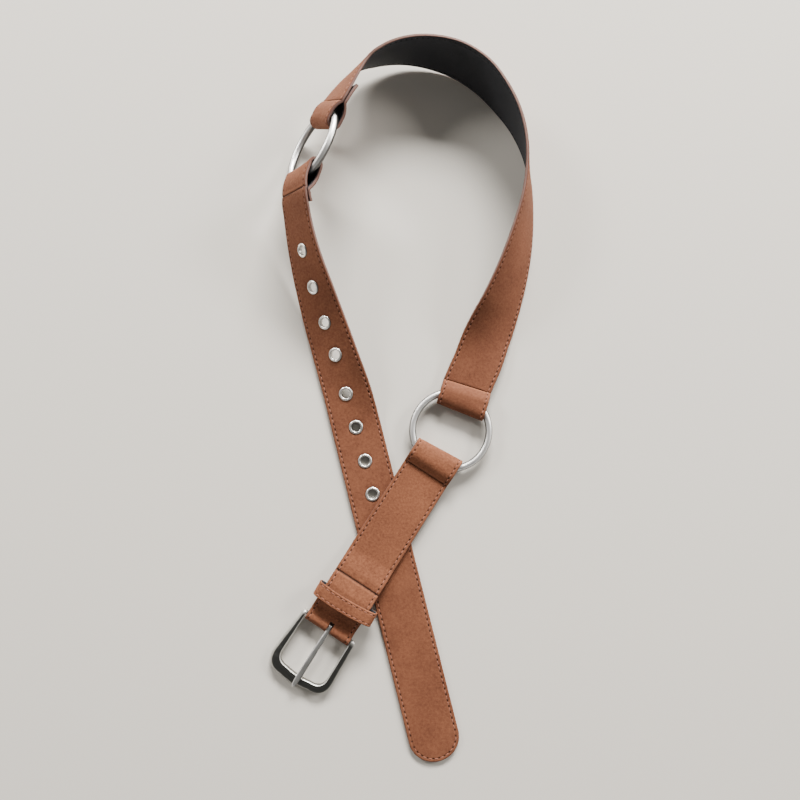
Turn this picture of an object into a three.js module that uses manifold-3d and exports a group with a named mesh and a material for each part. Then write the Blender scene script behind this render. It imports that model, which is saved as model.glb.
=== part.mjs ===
// Ring belt: three leather straps joined by two plain rings, with a single-prong buckle at one
// end and eight eyelets before the rounded tip at the other. It lies unfastened in a loop.
// Millimetres, +Z up, floor at z = 0. Plan coordinates have +Y towards the top of the loop.
// Every strap runs the same way: buckle, front ring, right side, top, back ring, left side, tip.
// A section has a centre, w across the strap to the inside of the loop, and n out of its face.

import * as THREE from "three";
import { mergeVertices } from "three/addons/utils/BufferGeometryUtils.js";
import Module from "manifold-3d";

const wasm = await Module();
wasm.setup();

// Leather
const STRAP_WIDTH = 35;
const HALF_WIDTH = STRAP_WIDTH / 2;
const FACE_THICKNESS = 1.0;
const LINING_THICKNESS = 1.0;
const CLEARANCE = 0.3;
const STRAP_THICKNESS = FACE_THICKNESS + CLEARANCE + LINING_THICKNESS;
const HALF_THICKNESS = STRAP_THICKNESS / 2;
const LAYER_PITCH = STRAP_THICKNESS + CLEARANCE;
const STEP_LENGTH = 6;
const FLAT_STEP_LENGTH = 20;
const TIP_STEPS = 8;

// Rings
const RING_RADIUS = 27;
const ROD_RADIUS = 2.2;
const RING_FOLD_RADIUS = ROD_RADIUS + CLEARANCE + HALF_THICKNESS;
const FLAT_FOLD_LEVEL = RING_FOLD_RADIUS - LAYER_PITCH;
const EVEN_FOLD_LEVEL = -LAYER_PITCH / 2;
const FRONT_RING = { x: 35.9, y: -22.0, z: STRAP_THICKNESS + CLEARANCE + ROD_RADIUS };
const BACK_RING_TILT = THREE.MathUtils.degToRad(55);
const BACK_RING_AZIMUTH = THREE.MathUtils.degToRad(158.8);
const BACK_RING = {
  x: -61.9,
  y: 176.2,
  z: ROD_RADIUS + RING_RADIUS * Math.sin(BACK_RING_TILT),
};

// Strap ends at the rings: distance of the crease from the ring's centre, how far the ring's
// centre lies to the inside of the strap's own line, turn of the crease, how far past the rod
// the fold bends on its two edges, how much rounder the fold is than the rod needs, and the
// length of the free end behind the crease.
const FRONT_RING_UPPER_END = {
  heading: 72.5,
  crease: 33.3,
  aside: 2,
  slack: { inner: 1.9, outer: 1 },
  roundness: 0,
  tail: 12,
};
const FRONT_RING_LOWER_END = {
  crease: 34.2,
  aside: 1.3,
  slack: { inner: 0.6, outer: 0.9 },
  roundness: 0,
  tail: 10,
};
const BACK_RING_UPPER_END = {
  turn: 13,
  crease: 34.2,
  aside: 0.2,
  slack: { inner: 1, outer: 0.7 },
  roundness: 0.9,
  tail: 11.5,
};
const BACK_RING_LOWER_END = {
  turn: -7.5,
  crease: 36.8,
  aside: -1.2,
  slack: { inner: 0.9, outer: 0.8 },
  roundness: 0.6,
  tail: 7.5,
};

// Lower edge of the middle strap from the front ring round to the back ring: place on the
// floor plan, lift off the floor, and lean of the face (0 face up, 90 upright, face outward).
const MIDDLE_ROUTE = [
  { x: 72.0, y: 21.0, lift: 2.7, lean: 2 },
  { x: 77.0, y: 35.4, lift: 1.6, lean: 10 },
  { x: 82.0, y: 50.0, lift: 0.4, lean: 22 },
  { x: 86.4, y: 64.9, lift: 0.05, lean: 34 },
  { x: 91.0, y: 83.0, lift: 0.05, lean: 43.5 },
  { x: 94.4, y: 101.0, lift: 0.05, lean: 51.5 },
  { x: 96.5, y: 120.0, lift: 0.05, lean: 60 },
  { x: 97.1, y: 140.0, lift: 0.05, lean: 69 },
  { x: 95.9, y: 160.5, lift: 0.05, lean: 76 },
  { x: 91.5, y: 180.5, lift: 0.05, lean: 83 },
  { x: 83.0, y: 199.3, lift: 0.05, lean: 90.5 },
  { x: 70.9, y: 215.6, lift: 0.05, lean: 98 },
  { x: 57.2, y: 229.9, lift: 0.05, lean: 103 },
  { x: 40.6, y: 241.4, lift: 0.3, lean: 102.5 },
  { x: 22.1, y: 248.4, lift: 1.2, lean: 96.5 },
  { x: 2.5, y: 251.2, lift: 2.6, lean: 88 },
  { x: -17.3, y: 248.6, lift: 4.5, lean: 78 },
  { x: -34.5, y: 240.6, lift: 7.6, lean: 66 },
];

// Lower edge of the hole strap from the back ring down the left side to its tip.
const HOLE_ROUTE = [
  { x: -81.8, y: 125.0, lift: 10, lean: 54.5 },
  { x: -80.0, y: 108.5, lift: 6.8, lean: 51 },
  { x: -77.1, y: 91.0, lift: 4.2, lean: 46 },
  { x: -73.3, y: 72.7, lift: 1.9, lean: 39 },
  { x: -69.0, y: 54.5, lift: 0.3, lean: 32.5 },
  { x: -64.0, y: 36.5, lift: 0.05, lean: 27 },
  { x: -59.0, y: 18.5, lift: 0.05, lean: 20.5 },
  { x: -54.1, y: 0.5, lift: 0.05, lean: 11 },
  { x: -49.5, y: -18.0, lift: 0.1, lean: 3 },
  { x: -44.8, y: -36.5, lift: 0.05, lean: 0.3 },
  { x: -39.9, y: -55.7, lift: 0, lean: 0 },
];
const HOLE_TAIL = { length: 202.5, tipRadius: 17.5, tipLength: 16.5 };

// Keeper: a closed loop round the upper layer of the buckle strap
const KEEPER = {
  along: 20.6,
  aside: 0.7,
  length: 10,
  innerHalf: 21.0,
  wall: 1.6,
  freeHeight: 4.4,
  turn: 2.6,
  corner: 2.4,
};

// Buckle strap: straight from the heel bar to the front ring. Its upper layer is described by
// its distance from the bar and the height of its underside, its folded end likewise.
const BAR = { x: -49.2, y: -157.6, radius: 1.3 };
const BAR_FOLD_RADIUS = BAR.radius + CLEARANCE + HALF_THICKNESS;
const BAR_HEIGHT = STRAP_THICKNESS + CLEARANCE + BAR.radius;
const OVER_STRAP = LAYER_PITCH;
const KEEPER_BULGE = OVER_STRAP + LAYER_PITCH + KEEPER.wall + CLEARANCE;
const BUCKLE_UPPER = [
  { along: 7.5, under: LAYER_PITCH },
  { along: 14.5, under: KEEPER_BULGE },
  { along: 26.6, under: KEEPER_BULGE },
  { along: 36.5, under: OVER_STRAP + LAYER_PITCH },
  { along: 42.1, under: OVER_STRAP + LAYER_PITCH },
  { along: 54.5, under: OVER_STRAP },
];
const BUCKLE_LOWER = [
  { along: 8.5, under: 0 },
  { along: 25.5, under: OVER_STRAP },
  { along: 41.5, under: OVER_STRAP },
];
const PRONG_SLOT = { rear: 3.7, front: 8, halfWidth: 1.7 };

// Buckle
const FRAME = {
  thickness: 4.4,
  heel: -1.3,
  heelOuter: 21.4,
  heelInner: 17.9,
  shoulder: 31,
  shoulderOuter: 22.8,
  shoulderInner: 18.3,
  innerShoulder: 29.5,
  frontCorner: 10.5,
  outerCornerDepth: 42.5,
  innerCornerDepth: 37.9,
  outerBow: 45.3,
  innerBow: 39.7,
  bevel: 0.7,
};
const FRAME_FRONT = (FRAME.outerCornerDepth + FRAME.outerBow) / 2;
const FRAME_TILT = Math.asin((BAR_HEIGHT - FRAME.thickness / 2) / (FRAME_FRONT - 0.5));
const PRONG = {
  eyeRadius: 2.7,
  eyeHalf: 1.35,
  eyeEnd: 4,
  widestAt: 34.5,
  widestHalf: 1.8,
  tipAt: 43.2,
  tip: 45.3,
  tipHalf: 1.2,
  aside: 0.8,
};

// Eyelets: distance along the hole strap from its crease, and offset towards the inner edge
const EYELETS = [
  { along: 39.6, aside: 0 },
  { along: 66.1, aside: 0 },
  { along: 92.2, aside: 0.7 },
  { along: 116.2, aside: 0.6 },
  { along: 144.8, aside: -1 },
  { along: 169.6, aside: -0.2 },
  { along: 194.5, aside: 0.2 },
  { along: 218.4, aside: -0.3 },
];
const EYELET = { bore: 3.3, tube: 4.1, flange: 5.15, lip: 0.6 };

const LEATHER = { color: 0xa86c52, roughness: 0.9, metalness: 0 };
const LINING = { color: 0x1e2125, roughness: 0.8, metalness: 0 };
const SATIN_SILVER = { color: 0xb9bcbe, roughness: 0.35, metalness: 1 };
const GUNMETAL = { color: 0x4d5052, roughness: 0.4, metalness: 1 };
const BRIGHT_NICKEL = { color: 0xdfe0e0, roughness: 0.2, metalness: 1 };

const UP = new THREE.Vector3(0, 0, 1);
const degrees = THREE.MathUtils.degToRad;

function addMesh(group, name, geometry, finish) {
  const mesh = new THREE.Mesh(geometry, new THREE.MeshStandardMaterial(finish));
  mesh.name = name;
  group.add(mesh);
  return mesh;
}

function toSolid(geometry) {
  const bare = geometry.clone();
  bare.deleteAttribute("normal");
  bare.deleteAttribute("uv");
  const merged = mergeVertices(bare, 1e-5);
  return new wasm.Manifold(new wasm.Mesh({
    numProp: 3,
    vertProperties: new Float32Array(merged.attributes.position.array),
    triVerts: new Uint32Array(merged.index.array),
  }));
}

function toGeometry(solid) {
  const mesh = solid.getMesh();
  const geometry = new THREE.BufferGeometry();
  geometry.setAttribute("position", new THREE.BufferAttribute(new Float32Array(mesh.vertProperties), 3));
  geometry.setIndex(new THREE.BufferAttribute(new Uint32Array(mesh.triVerts), 1));
  return geometry;
}

// A section of a strap, completed from its centre, its direction of travel and w.
function section(centre, travel, across, half = HALF_WIDTH) {
  const w = across.clone().addScaledVector(travel, -across.dot(travel)).normalize();
  const n = new THREE.Vector3().crossVectors(travel, w);
  return { centre, travel, w, n, half };
}

// The two edge points of a section, each with its own normal.
function rung({ centre, w, n, half }) {
  return {
    inner: { point: centre.clone().addScaledVector(w, half), normal: n },
    outer: { point: centre.clone().addScaledVector(w, -half), normal: n },
  };
}

// One wall of a strap through all its rungs, between two distances from the middle surface.
// Its upper and lower surfaces are divided along the same diagonals, so walls keep their gaps.
function wallGeometry(rungs, low, high, columns) {
  const points = [];
  for (const { inner, outer } of rungs) {
    for (const [offset, ordered] of [[high, 1], [low, -1]]) {
      for (let step = 0; step <= columns; step += 1) {
        const share = ordered > 0 ? step / columns : 1 - step / columns;
        const point = inner.point.clone().lerp(outer.point, share);
        const normal = inner.normal.clone().lerp(outer.normal, share);
        points.push(point.addScaledVector(normal, offset));
      }
    }
  }
  const ring = 2 * (columns + 1);
  const index = [];
  for (let row = 0; row < rungs.length - 1; row += 1) {
    for (let k = 0; k < ring; k += 1) {
      const a = row * ring + k;
      const b = row * ring + ((k + 1) % ring);
      if (k > columns) {
        index.push(a, b, a + ring, b, b + ring, a + ring);
      } else {
        index.push(a, b, b + ring, a, b + ring, a + ring);
      }
    }
  }
  const last = (rungs.length - 1) * ring;
  for (let k = 0; k < columns; k += 1) {
    const below = ring - 1 - k;
    index.push(k, below, below - 1, k, below - 1, k + 1);
    index.push(last + k, last + below - 1, last + below, last + k, last + k + 1, last + below - 1);
  }
  const geometry = new THREE.BufferGeometry().setFromPoints(points);
  geometry.setIndex(index);
  return geometry;
}

function faceWall(rungs, columns) {
  return wallGeometry(rungs, HALF_THICKNESS - FACE_THICKNESS, HALF_THICKNESS, columns);
}

function liningWall(rungs, columns) {
  return wallGeometry(rungs, -HALF_THICKNESS, LINING_THICKNESS - HALF_THICKNESS, columns);
}

// Points of a polyline with the normals that keep a wall's thickness through its kinks. The
// normal is the direction of travel turned a quarter left, in the plane of (along, up).
function mitred(path) {
  return path.map(({ x, y }, i) => {
    const before = path[Math.max(i - 1, 0)];
    const after = path[Math.min(i + 1, path.length - 1)];
    const arriving = i > 0 ? Math.atan2(y - before.y, x - before.x) : Math.atan2(after.y - y, after.x - x);
    const leaving = i < path.length - 1 ? Math.atan2(after.y - y, after.x - x) : arriving;
    const turn = Math.atan2(Math.sin(leaving - arriving), Math.cos(leaving - arriving));
    const angle = arriving + turn / 2 + Math.PI / 2;
    const stretch = 1 / Math.cos(turn / 2);
    return { x, y, nx: Math.cos(angle) * stretch, ny: Math.sin(angle) * stretch };
  });
}

// Points of an arc, or the one point of an arc that has no length.
function arcPoints(x, y, radius, from, to, steps) {
  const points = [];
  const count = Math.abs(to - from) < 0.01 ? 0 : steps;
  for (let k = 0; k <= count; k += 1) {
    const angle = from + ((to - from) * k) / steps;
    points.push({ x: x + radius * Math.cos(angle), y: y + radius * Math.sin(angle) });
  }
  return points;
}

// Middle surface of a strap end folded back round a rod: from the crease over the rod, round
// it and back below the crease. x runs from the crease to the rod, y along the strap's normal.
function foldPath({ near, far, level, radius }) {
  const rise = Math.atan2(level, near) + Math.asin(radius / Math.hypot(near, level));
  const depth = level + LAYER_PITCH;
  const fall = Math.atan2(depth, near) - Math.asin(radius / Math.hypot(near, depth));
  return [
    { x: 0, y: 0 },
    ...arcPoints(near, level, radius, rise + Math.PI / 2, Math.PI / 2, 3),
    ...arcPoints(far, level, radius, Math.PI / 2, -Math.PI / 2, 8),
    ...arcPoints(near, level, radius, -Math.PI / 2, fall - Math.PI / 2, 2),
    { x: 0, y: -LAYER_PITCH },
  ];
}

// Rungs of a strap end round a ring. The list runs from the crease round the rod to the free
// end, which follows the body behind it.
function ringFold(body, crease, end, level) {
  const isStart = crease === body[0];
  const towards = crease.travel.clone().multiplyScalar(isStart ? -1 : 1);
  const whole = strapLength(body);
  const place = { inner: HALF_WIDTH - end.aside, outer: -HALF_WIDTH - end.aside };
  const edges = {};
  for (const edge of ["inner", "outer"]) {
    const rodAtEdge = end.crease - Math.sqrt(RING_RADIUS ** 2 - place[edge] ** 2);
    const path = foldPath({
      near: end.crease - RING_RADIUS,
      far: rodAtEdge + end.slack[edge] - end.roundness,
      level,
      radius: RING_FOLD_RADIUS + end.roundness,
    });
    const withBody = mitred([{ x: -1, y: 0 }, ...path, { x: -1, y: -LAYER_PITCH }]);
    edges[edge] = withBody.slice(1, -1).map(({ x, y, nx, ny }) => ({
      point: crease.centre.clone()
        .addScaledVector(towards, x)
        .addScaledVector(crease.n, y)
        .addScaledVector(crease.w, edge === "inner" ? HALF_WIDTH : -HALF_WIDTH),
      normal: towards.clone().multiplyScalar(nx).addScaledVector(crease.n, ny),
    }));
  }
  const tail = [0.5, 1].map((share) => {
    const distance = share * end.tail;
    const { centre, w, n } = sectionAt(body, isStart ? distance : whole - distance);
    return rung({ centre: centre.addScaledVector(n, -LAYER_PITCH), w, n: n.negate(), half: HALF_WIDTH });
  });
  return [...edges.inner.map((inner, i) => ({ inner, outer: edges.outer[i] })), ...tail];
}

// Sections at the rows of a route table, with the strap's mid-line leaning over its lower edge.
function routeSections(rows) {
  const edge = rows.map(({ x, y, lift }) => new THREE.Vector3(x, y, lift));
  return rows.map(({ lean }, i) => {
    const before = edge[Math.max(i - 1, 0)];
    const after = edge[Math.min(i + 1, rows.length - 1)];
    const travel = after.clone().sub(before).normalize();
    const inwards = new THREE.Vector3().crossVectors(UP, travel).normalize();
    const across = inwards.multiplyScalar(Math.cos(degrees(lean)));
    across.addScaledVector(UP, Math.sin(degrees(lean)));
    const rise = HALF_THICKNESS * Math.abs(Math.cos(degrees(lean)));
    const centre = edge[i].clone().addScaledVector(across, HALF_WIDTH).addScaledVector(UP, rise);
    return section(centre, travel, across);
  });
}

// Value of a Catmull-Rom curve between b and c.
function catmullRom(a, b, c, d, t) {
  const curve = (k) => 0.5 * (
    2 * b.getComponent(k) + (c.getComponent(k) - a.getComponent(k)) * t
    + (2 * a.getComponent(k) - 5 * b.getComponent(k) + 4 * c.getComponent(k) - d.getComponent(k)) * t * t
    + (3 * b.getComponent(k) - a.getComponent(k) - 3 * c.getComponent(k) + d.getComponent(k)) * t * t * t
  );
  return new THREE.Vector3(curve(0), curve(1), curve(2));
}

// Sections along a smooth strap through the given ones, which keep their places.
function smoothSections(knots, stepLength = STEP_LENGTH) {
  const first = knots[0];
  const last = knots[knots.length - 1];
  const reachIn = first.centre.distanceTo(knots[1].centre);
  const reachOut = last.centre.distanceTo(knots[knots.length - 2].centre);
  const centres = [
    first.centre.clone().addScaledVector(first.travel, -reachIn),
    ...knots.map(({ centre }) => centre),
    last.centre.clone().addScaledVector(last.travel, reachOut),
  ];
  const across = [first.w, ...knots.map(({ w }) => w), last.w];
  const sections = [first];
  for (let k = 1; k < knots.length; k += 1) {
    const steps = Math.ceil(centres[k].distanceTo(centres[k + 1]) / stepLength);
    for (let step = 1; step <= steps; step += 1) {
      const t = step / steps;
      const at = (list, u) => catmullRom(list[k - 1], list[k], list[k + 1], list[k + 2], u);
      const travel = at(centres, t + 0.01).sub(at(centres, t - 0.01)).normalize();
      sections.push(section(at(centres, t), travel, at(across, t)));
    }
  }
  sections[sections.length - 1] = last;
  return sections;
}

function strapLength(sections) {
  return sections.slice(1).reduce((sum, { centre }, i) => sum + centre.distanceTo(sections[i].centre), 0);
}

// Section of a strap at a distance from its first section.
function sectionAt(sections, distance) {
  let walked = 0;
  for (let k = 1; k < sections.length; k += 1) {
    const from = sections[k - 1];
    const to = sections[k];
    const length = from.centre.distanceTo(to.centre);
    if (walked + length >= distance) {
      const share = (distance - walked) / length;
      const centre = from.centre.clone().lerp(to.centre, share);
      const travel = to.centre.clone().sub(from.centre).normalize();
      return section(centre, travel, from.w.clone().lerp(to.w, share));
    }
    walked += length;
  }
  throw new Error("the strap is shorter than this distance");
}

// Plane of the back ring: level lies along its horizontal diameter towards the hole strap,
// steep climbs to the inside of the loop.
const backNormal = new THREE.Vector3(
  Math.sin(BACK_RING_TILT) * Math.cos(BACK_RING_AZIMUTH),
  Math.sin(BACK_RING_TILT) * Math.sin(BACK_RING_AZIMUTH),
  Math.cos(BACK_RING_TILT),
);
const backLevel = new THREE.Vector3().crossVectors(UP, backNormal).normalize();
const frontCentre = new THREE.Vector3(FRONT_RING.x, FRONT_RING.y, FRONT_RING.z);
const backCentre = new THREE.Vector3(BACK_RING.x, BACK_RING.y, BACK_RING.z);

// Crease of a strap end at a ring. The strap passes the ring's centre at a sideways distance.
function creaseAtRing(ringCentre, travel, normal, end, sense, level) {
  const w = new THREE.Vector3().crossVectors(normal, travel);
  const centre = ringCentre.clone()
    .addScaledVector(travel, sense * end.crease)
    .addScaledVector(w, -end.aside)
    .addScaledVector(normal, -level);
  return section(centre, travel, w);
}

const towardsTip = backLevel;
const upperHeading = degrees(FRONT_RING_UPPER_END.heading);
const middleStart = creaseAtRing(
  frontCentre, new THREE.Vector3(Math.cos(upperHeading), Math.sin(upperHeading), 0),
  UP, FRONT_RING_UPPER_END, 1, FLAT_FOLD_LEVEL,
);
const middleEnd = creaseAtRing(
  backCentre, towardsTip.clone().applyAxisAngle(backNormal, degrees(-BACK_RING_UPPER_END.turn)),
  backNormal, BACK_RING_UPPER_END, -1, EVEN_FOLD_LEVEL,
);
const holeStart = creaseAtRing(
  backCentre, towardsTip.clone().applyAxisAngle(backNormal, degrees(-BACK_RING_LOWER_END.turn)),
  backNormal, BACK_RING_LOWER_END, 1, EVEN_FOLD_LEVEL,
);
const barCentre = new THREE.Vector3(BAR.x, BAR.y, BAR_HEIGHT);
const barToRing = new THREE.Vector3(FRONT_RING.x - BAR.x, FRONT_RING.y - BAR.y, 0);
const buckleTurn = Math.asin(FRONT_RING_LOWER_END.aside / barToRing.length());
const buckleHeading = barToRing.clone().normalize().applyAxisAngle(UP, -buckleTurn);
const buckleEnd = creaseAtRing(frontCentre, buckleHeading, UP, FRONT_RING_LOWER_END, -1, FLAT_FOLD_LEVEL);

function middleStrap(group) {
  const body = smoothSections([middleStart, ...routeSections(MIDDLE_ROUTE), middleEnd]);
  const rungs = [
    ...ringFold(body, middleStart, FRONT_RING_UPPER_END, FLAT_FOLD_LEVEL).reverse(),
    ...body.slice(1, -1).map(rung),
    ...ringFold(body, middleEnd, BACK_RING_UPPER_END, EVEN_FOLD_LEVEL),
  ];
  addMesh(group, "middle_strap_face", faceWall(rungs, 2), LEATHER);
  addMesh(group, "middle_strap_lining", liningWall(rungs, 2), LINING);
}

// The straight tail with its rounded tip, whose half width follows a flattened half circle.
function holeTail(start) {
  const sections = [];
  const at = (distance, half) => section(
    start.centre.clone().addScaledVector(start.travel, distance), start.travel, start.w, half,
  );
  const straight = HOLE_TAIL.length - HOLE_TAIL.tipLength;
  const steps = Math.ceil(straight / FLAT_STEP_LENGTH);
  for (let k = 1; k <= steps; k += 1) {
    sections.push(at((straight * k) / steps, HALF_WIDTH));
  }
  for (let k = 1; k <= TIP_STEPS; k += 1) {
    const angle = ((Math.PI / 2) * k * 0.97) / TIP_STEPS;
    const half = HOLE_TAIL.tipRadius * Math.cos(angle);
    sections.push(at(straight + HOLE_TAIL.tipLength * Math.sin(angle), half));
  }
  return sections;
}

function eyeletGeometry() {
  const top = HALF_THICKNESS + CLEARANCE;
  const { bore, tube, flange, lip } = EYELET;
  const profile = [
    [bore, -HALF_THICKNESS], [flange, -HALF_THICKNESS], [flange, -HALF_THICKNESS + lip],
    [tube, -HALF_THICKNESS + lip], [tube, top], [flange, top], [flange, top + lip * 0.4],
    [flange - 0.5, top + lip], [bore + 0.3, top + lip], [bore, top + lip * 0.6], [bore, -HALF_THICKNESS],
  ];
  return new THREE.LatheGeometry(profile.map(([r, z]) => new THREE.Vector2(r, z)), 20);
}

function alongAxis(geometry, { centre, w, n }) {
  const basis = new THREE.Matrix4().makeBasis(w, n, new THREE.Vector3().crossVectors(w, n));
  return geometry.clone().applyMatrix4(basis.setPosition(centre));
}

function holeStrap(group) {
  const body = smoothSections([holeStart, ...routeSections(HOLE_ROUTE)]);
  const flat = body[body.length - 1];
  flat.travel.setZ(0).normalize();
  const whole = [...body, ...holeTail(flat)];
  const rungs = [
    ...ringFold(body, holeStart, BACK_RING_LOWER_END, EVEN_FOLD_LEVEL).reverse(),
    ...whole.slice(1).map(rung),
  ];
  let face = toSolid(faceWall(rungs, 2));
  let lining = toSolid(liningWall(rungs, 2));
  const faceDrill = new THREE.CylinderGeometry(EYELET.tube + CLEARANCE, EYELET.tube + CLEARANCE, 4, 20);
  const liningDrill = new THREE.CylinderGeometry(EYELET.flange + CLEARANCE, EYELET.flange + CLEARANCE, 4, 20);
  EYELETS.forEach(({ along, aside }, i) => {
    const seat = sectionAt(whole, along);
    seat.centre.addScaledVector(seat.w, aside);
    face = face.subtract(toSolid(alongAxis(faceDrill, seat)));
    lining = lining.subtract(toSolid(alongAxis(liningDrill, seat)));
    addMesh(group, `eyelet_${i + 1}`, toGeometry(toSolid(alongAxis(eyeletGeometry(), seat))), BRIGHT_NICKEL);
  });
  addMesh(group, "hole_strap_face", toGeometry(face), LEATHER);
  addMesh(group, "hole_strap_lining", toGeometry(lining), LINING);
}

// Side profile of the buckle strap, from the free end behind the buckle round the heel bar and
// over the keeper. x runs along the strap from the bar, y upwards.
function bucklePath() {
  const layer = ({ along, under }) => ({ x: along, y: under + HALF_THICKNESS });
  const groove = layer(BUCKLE_UPPER[0]);
  const climb = groove.y - BAR_HEIGHT;
  const tangent = Math.atan2(climb, groove.x) + Math.acos(BAR_FOLD_RADIUS / Math.hypot(groove.x, climb));
  return mitred([
    ...[...BUCKLE_LOWER].reverse().map(layer),
    ...arcPoints(0, BAR_HEIGHT, BAR_FOLD_RADIUS, -Math.PI / 2, tangent - 2 * Math.PI, 10),
    ...BUCKLE_UPPER.map(layer),
  ]);
}

function buckleStrap(group) {
  const w = new THREE.Vector3().crossVectors(UP, buckleHeading);
  const behindBar = bucklePath().map(({ x, y, nx, ny }) => {
    const centre = new THREE.Vector3(BAR.x, BAR.y, y).addScaledVector(buckleHeading, x);
    const n = buckleHeading.clone().multiplyScalar(nx).addScaledVector(UP, ny);
    return rung({ centre, w, n, half: HALF_WIDTH });
  });
  const straight = buckleEnd.centre.clone().addScaledVector(buckleHeading, -FLAT_STEP_LENGTH);
  const body = [section(straight, buckleHeading, w), buckleEnd];
  const rungs = [...behindBar, ...ringFold(body, buckleEnd, FRONT_RING_LOWER_END, FLAT_FOLD_LEVEL)];
  const slotLength = PRONG_SLOT.rear + PRONG_SLOT.front;
  const slot = new THREE.BoxGeometry(slotLength, 2 * PRONG_SLOT.halfWidth, 40);
  slot.translate((PRONG_SLOT.front - PRONG_SLOT.rear) / 2, PRONG.aside, 0);
  slot.applyMatrix4(buckleMatrix());
  const cutter = toSolid(slot);
  addMesh(group, "buckle_strap_face", toGeometry(toSolid(faceWall(rungs, 1)).subtract(cutter)), LEATHER);
  addMesh(group, "buckle_strap_lining", toGeometry(toSolid(liningWall(rungs, 1)).subtract(cutter)), LINING);
}

// The buckle's own frame: origin on the heel bar's axis, X away from the strap, Y along the bar.
function buckleMatrix() {
  const away = buckleHeading.clone().negate();
  const along = new THREE.Vector3().crossVectors(UP, away);
  return new THREE.Matrix4().makeBasis(away, along, UP).setPosition(barCentre);
}

// The U of the frame with bowed front and arms that end just past the heel bar.
function frameShape() {
  const { heel, heelOuter, heelInner, shoulder, shoulderOuter, shoulderInner } = FRAME;
  const { innerShoulder, frontCorner, outerCornerDepth, innerCornerDepth, outerBow, innerBow } = FRAME;
  const innerCorner = frontCorner - 1;
  const shape = new THREE.Shape();
  shape.moveTo(heel, heelInner);
  shape.lineTo(innerShoulder, shoulderInner);
  shape.quadraticCurveTo(innerCornerDepth, shoulderInner, innerCornerDepth, innerCorner);
  shape.quadraticCurveTo(innerBow, 0, innerCornerDepth, -innerCorner);
  shape.quadraticCurveTo(innerCornerDepth, -shoulderInner, innerShoulder, -shoulderInner);
  shape.lineTo(heel, -heelInner);
  shape.lineTo(heel, -heelOuter);
  shape.lineTo(shoulder, -shoulderOuter);
  shape.quadraticCurveTo(outerCornerDepth, -shoulderOuter, outerCornerDepth, -frontCorner);
  shape.quadraticCurveTo(outerBow, 0, outerCornerDepth, frontCorner);
  shape.quadraticCurveTo(outerCornerDepth, shoulderOuter, shoulder, shoulderOuter);
  shape.lineTo(heel, heelOuter);
  shape.closePath();
  return shape;
}

function buckleFrame(group) {
  const plate = new THREE.ExtrudeGeometry(frameShape(), {
    depth: FRAME.thickness - 2 * FRAME.bevel,
    bevelThickness: FRAME.bevel,
    bevelSize: FRAME.bevel,
    bevelOffset: -FRAME.bevel,
    bevelSegments: 1,
    curveSegments: 8,
  });
  plate.translate(0, 0, FRAME.bevel - FRAME.thickness / 2);
  const bar = new THREE.CylinderGeometry(BAR.radius, BAR.radius, 2 * FRAME.heelInner + 2, 16);
  const frame = toGeometry(toSolid(plate).add(toSolid(bar)));
  addMesh(group, "buckle_frame", frame, GUNMETAL).rotation.y = FRAME_TILT;
}

// Side of the prong: an eye round the bar, and a shank that springs from the top of the eye
// and rests on the front of the frame.
function prongSide() {
  const { eyeRadius, tip } = PRONG;
  const side = new THREE.Shape();
  side.moveTo(0, eyeRadius);
  side.absarc(0, 0, eyeRadius, Math.PI / 2, 2 * Math.PI + 0.26, false);
  side.lineTo(36, 0.95);
  side.lineTo(tip - 2, 0.6);
  side.quadraticCurveTo(tip, 0.5, tip, 1.3);
  side.quadraticCurveTo(tip, 2.1, tip - 2, 2.5);
  side.lineTo(36, 3.0);
  side.lineTo(18, 3.1);
  side.closePath();
  const eye = new THREE.Path();
  eye.absarc(0, 0, BAR.radius + CLEARANCE, 0, 2 * Math.PI, true);
  side.holes.push(eye);
  return side;
}

// Plan of the prong: narrow at the eye, widest before the front, with a rounded tip.
function prongPlan() {
  const { eyeRadius, eyeHalf, eyeEnd, widestAt, widestHalf, tipAt, tip, tipHalf } = PRONG;
  const plan = new THREE.Shape();
  plan.moveTo(-eyeRadius - 1, -eyeHalf);
  plan.lineTo(eyeEnd, -eyeHalf);
  plan.lineTo(widestAt, -widestHalf);
  plan.lineTo(tipAt, -tipHalf - 0.2);
  plan.quadraticCurveTo(tip, -tipHalf, tip, 0);
  plan.quadraticCurveTo(tip, tipHalf, tipAt, tipHalf + 0.2);
  plan.lineTo(widestAt, widestHalf);
  plan.lineTo(eyeEnd, eyeHalf);
  plan.lineTo(-eyeRadius - 1, eyeHalf);
  plan.closePath();
  return plan;
}

function bucklePin(group) {
  const width = 2 * PRONG.widestHalf + 1;
  const sideShape = prongSide();
  const side = new THREE.ExtrudeGeometry(sideShape, { depth: width, bevelEnabled: false, curveSegments: 10 });
  side.translate(0, 0, -width / 2).rotateX(Math.PI / 2);
  const plan = new THREE.ExtrudeGeometry(prongPlan(), { depth: 12, bevelEnabled: false, curveSegments: 6 });
  plan.translate(0, 0, -6);
  const prong = toGeometry(toSolid(side).intersect(toSolid(plan)));
  addMesh(group, "buckle_prong", prong, SATIN_SILVER).position.y = PRONG.aside;
}

function roundedBox(halfWidth, bottom, top, radius, path) {
  path.moveTo(-halfWidth + radius, bottom);
  path.lineTo(halfWidth - radius, bottom);
  path.quadraticCurveTo(halfWidth, bottom, halfWidth, bottom + radius);
  path.lineTo(halfWidth, top - radius);
  path.quadraticCurveTo(halfWidth, top, halfWidth - radius, top);
  path.lineTo(-halfWidth + radius, top);
  path.quadraticCurveTo(-halfWidth, top, -halfWidth, top - radius);
  path.lineTo(-halfWidth, bottom + radius);
  path.quadraticCurveTo(-halfWidth, bottom, -halfWidth + radius, bottom);
  return path;
}

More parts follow.
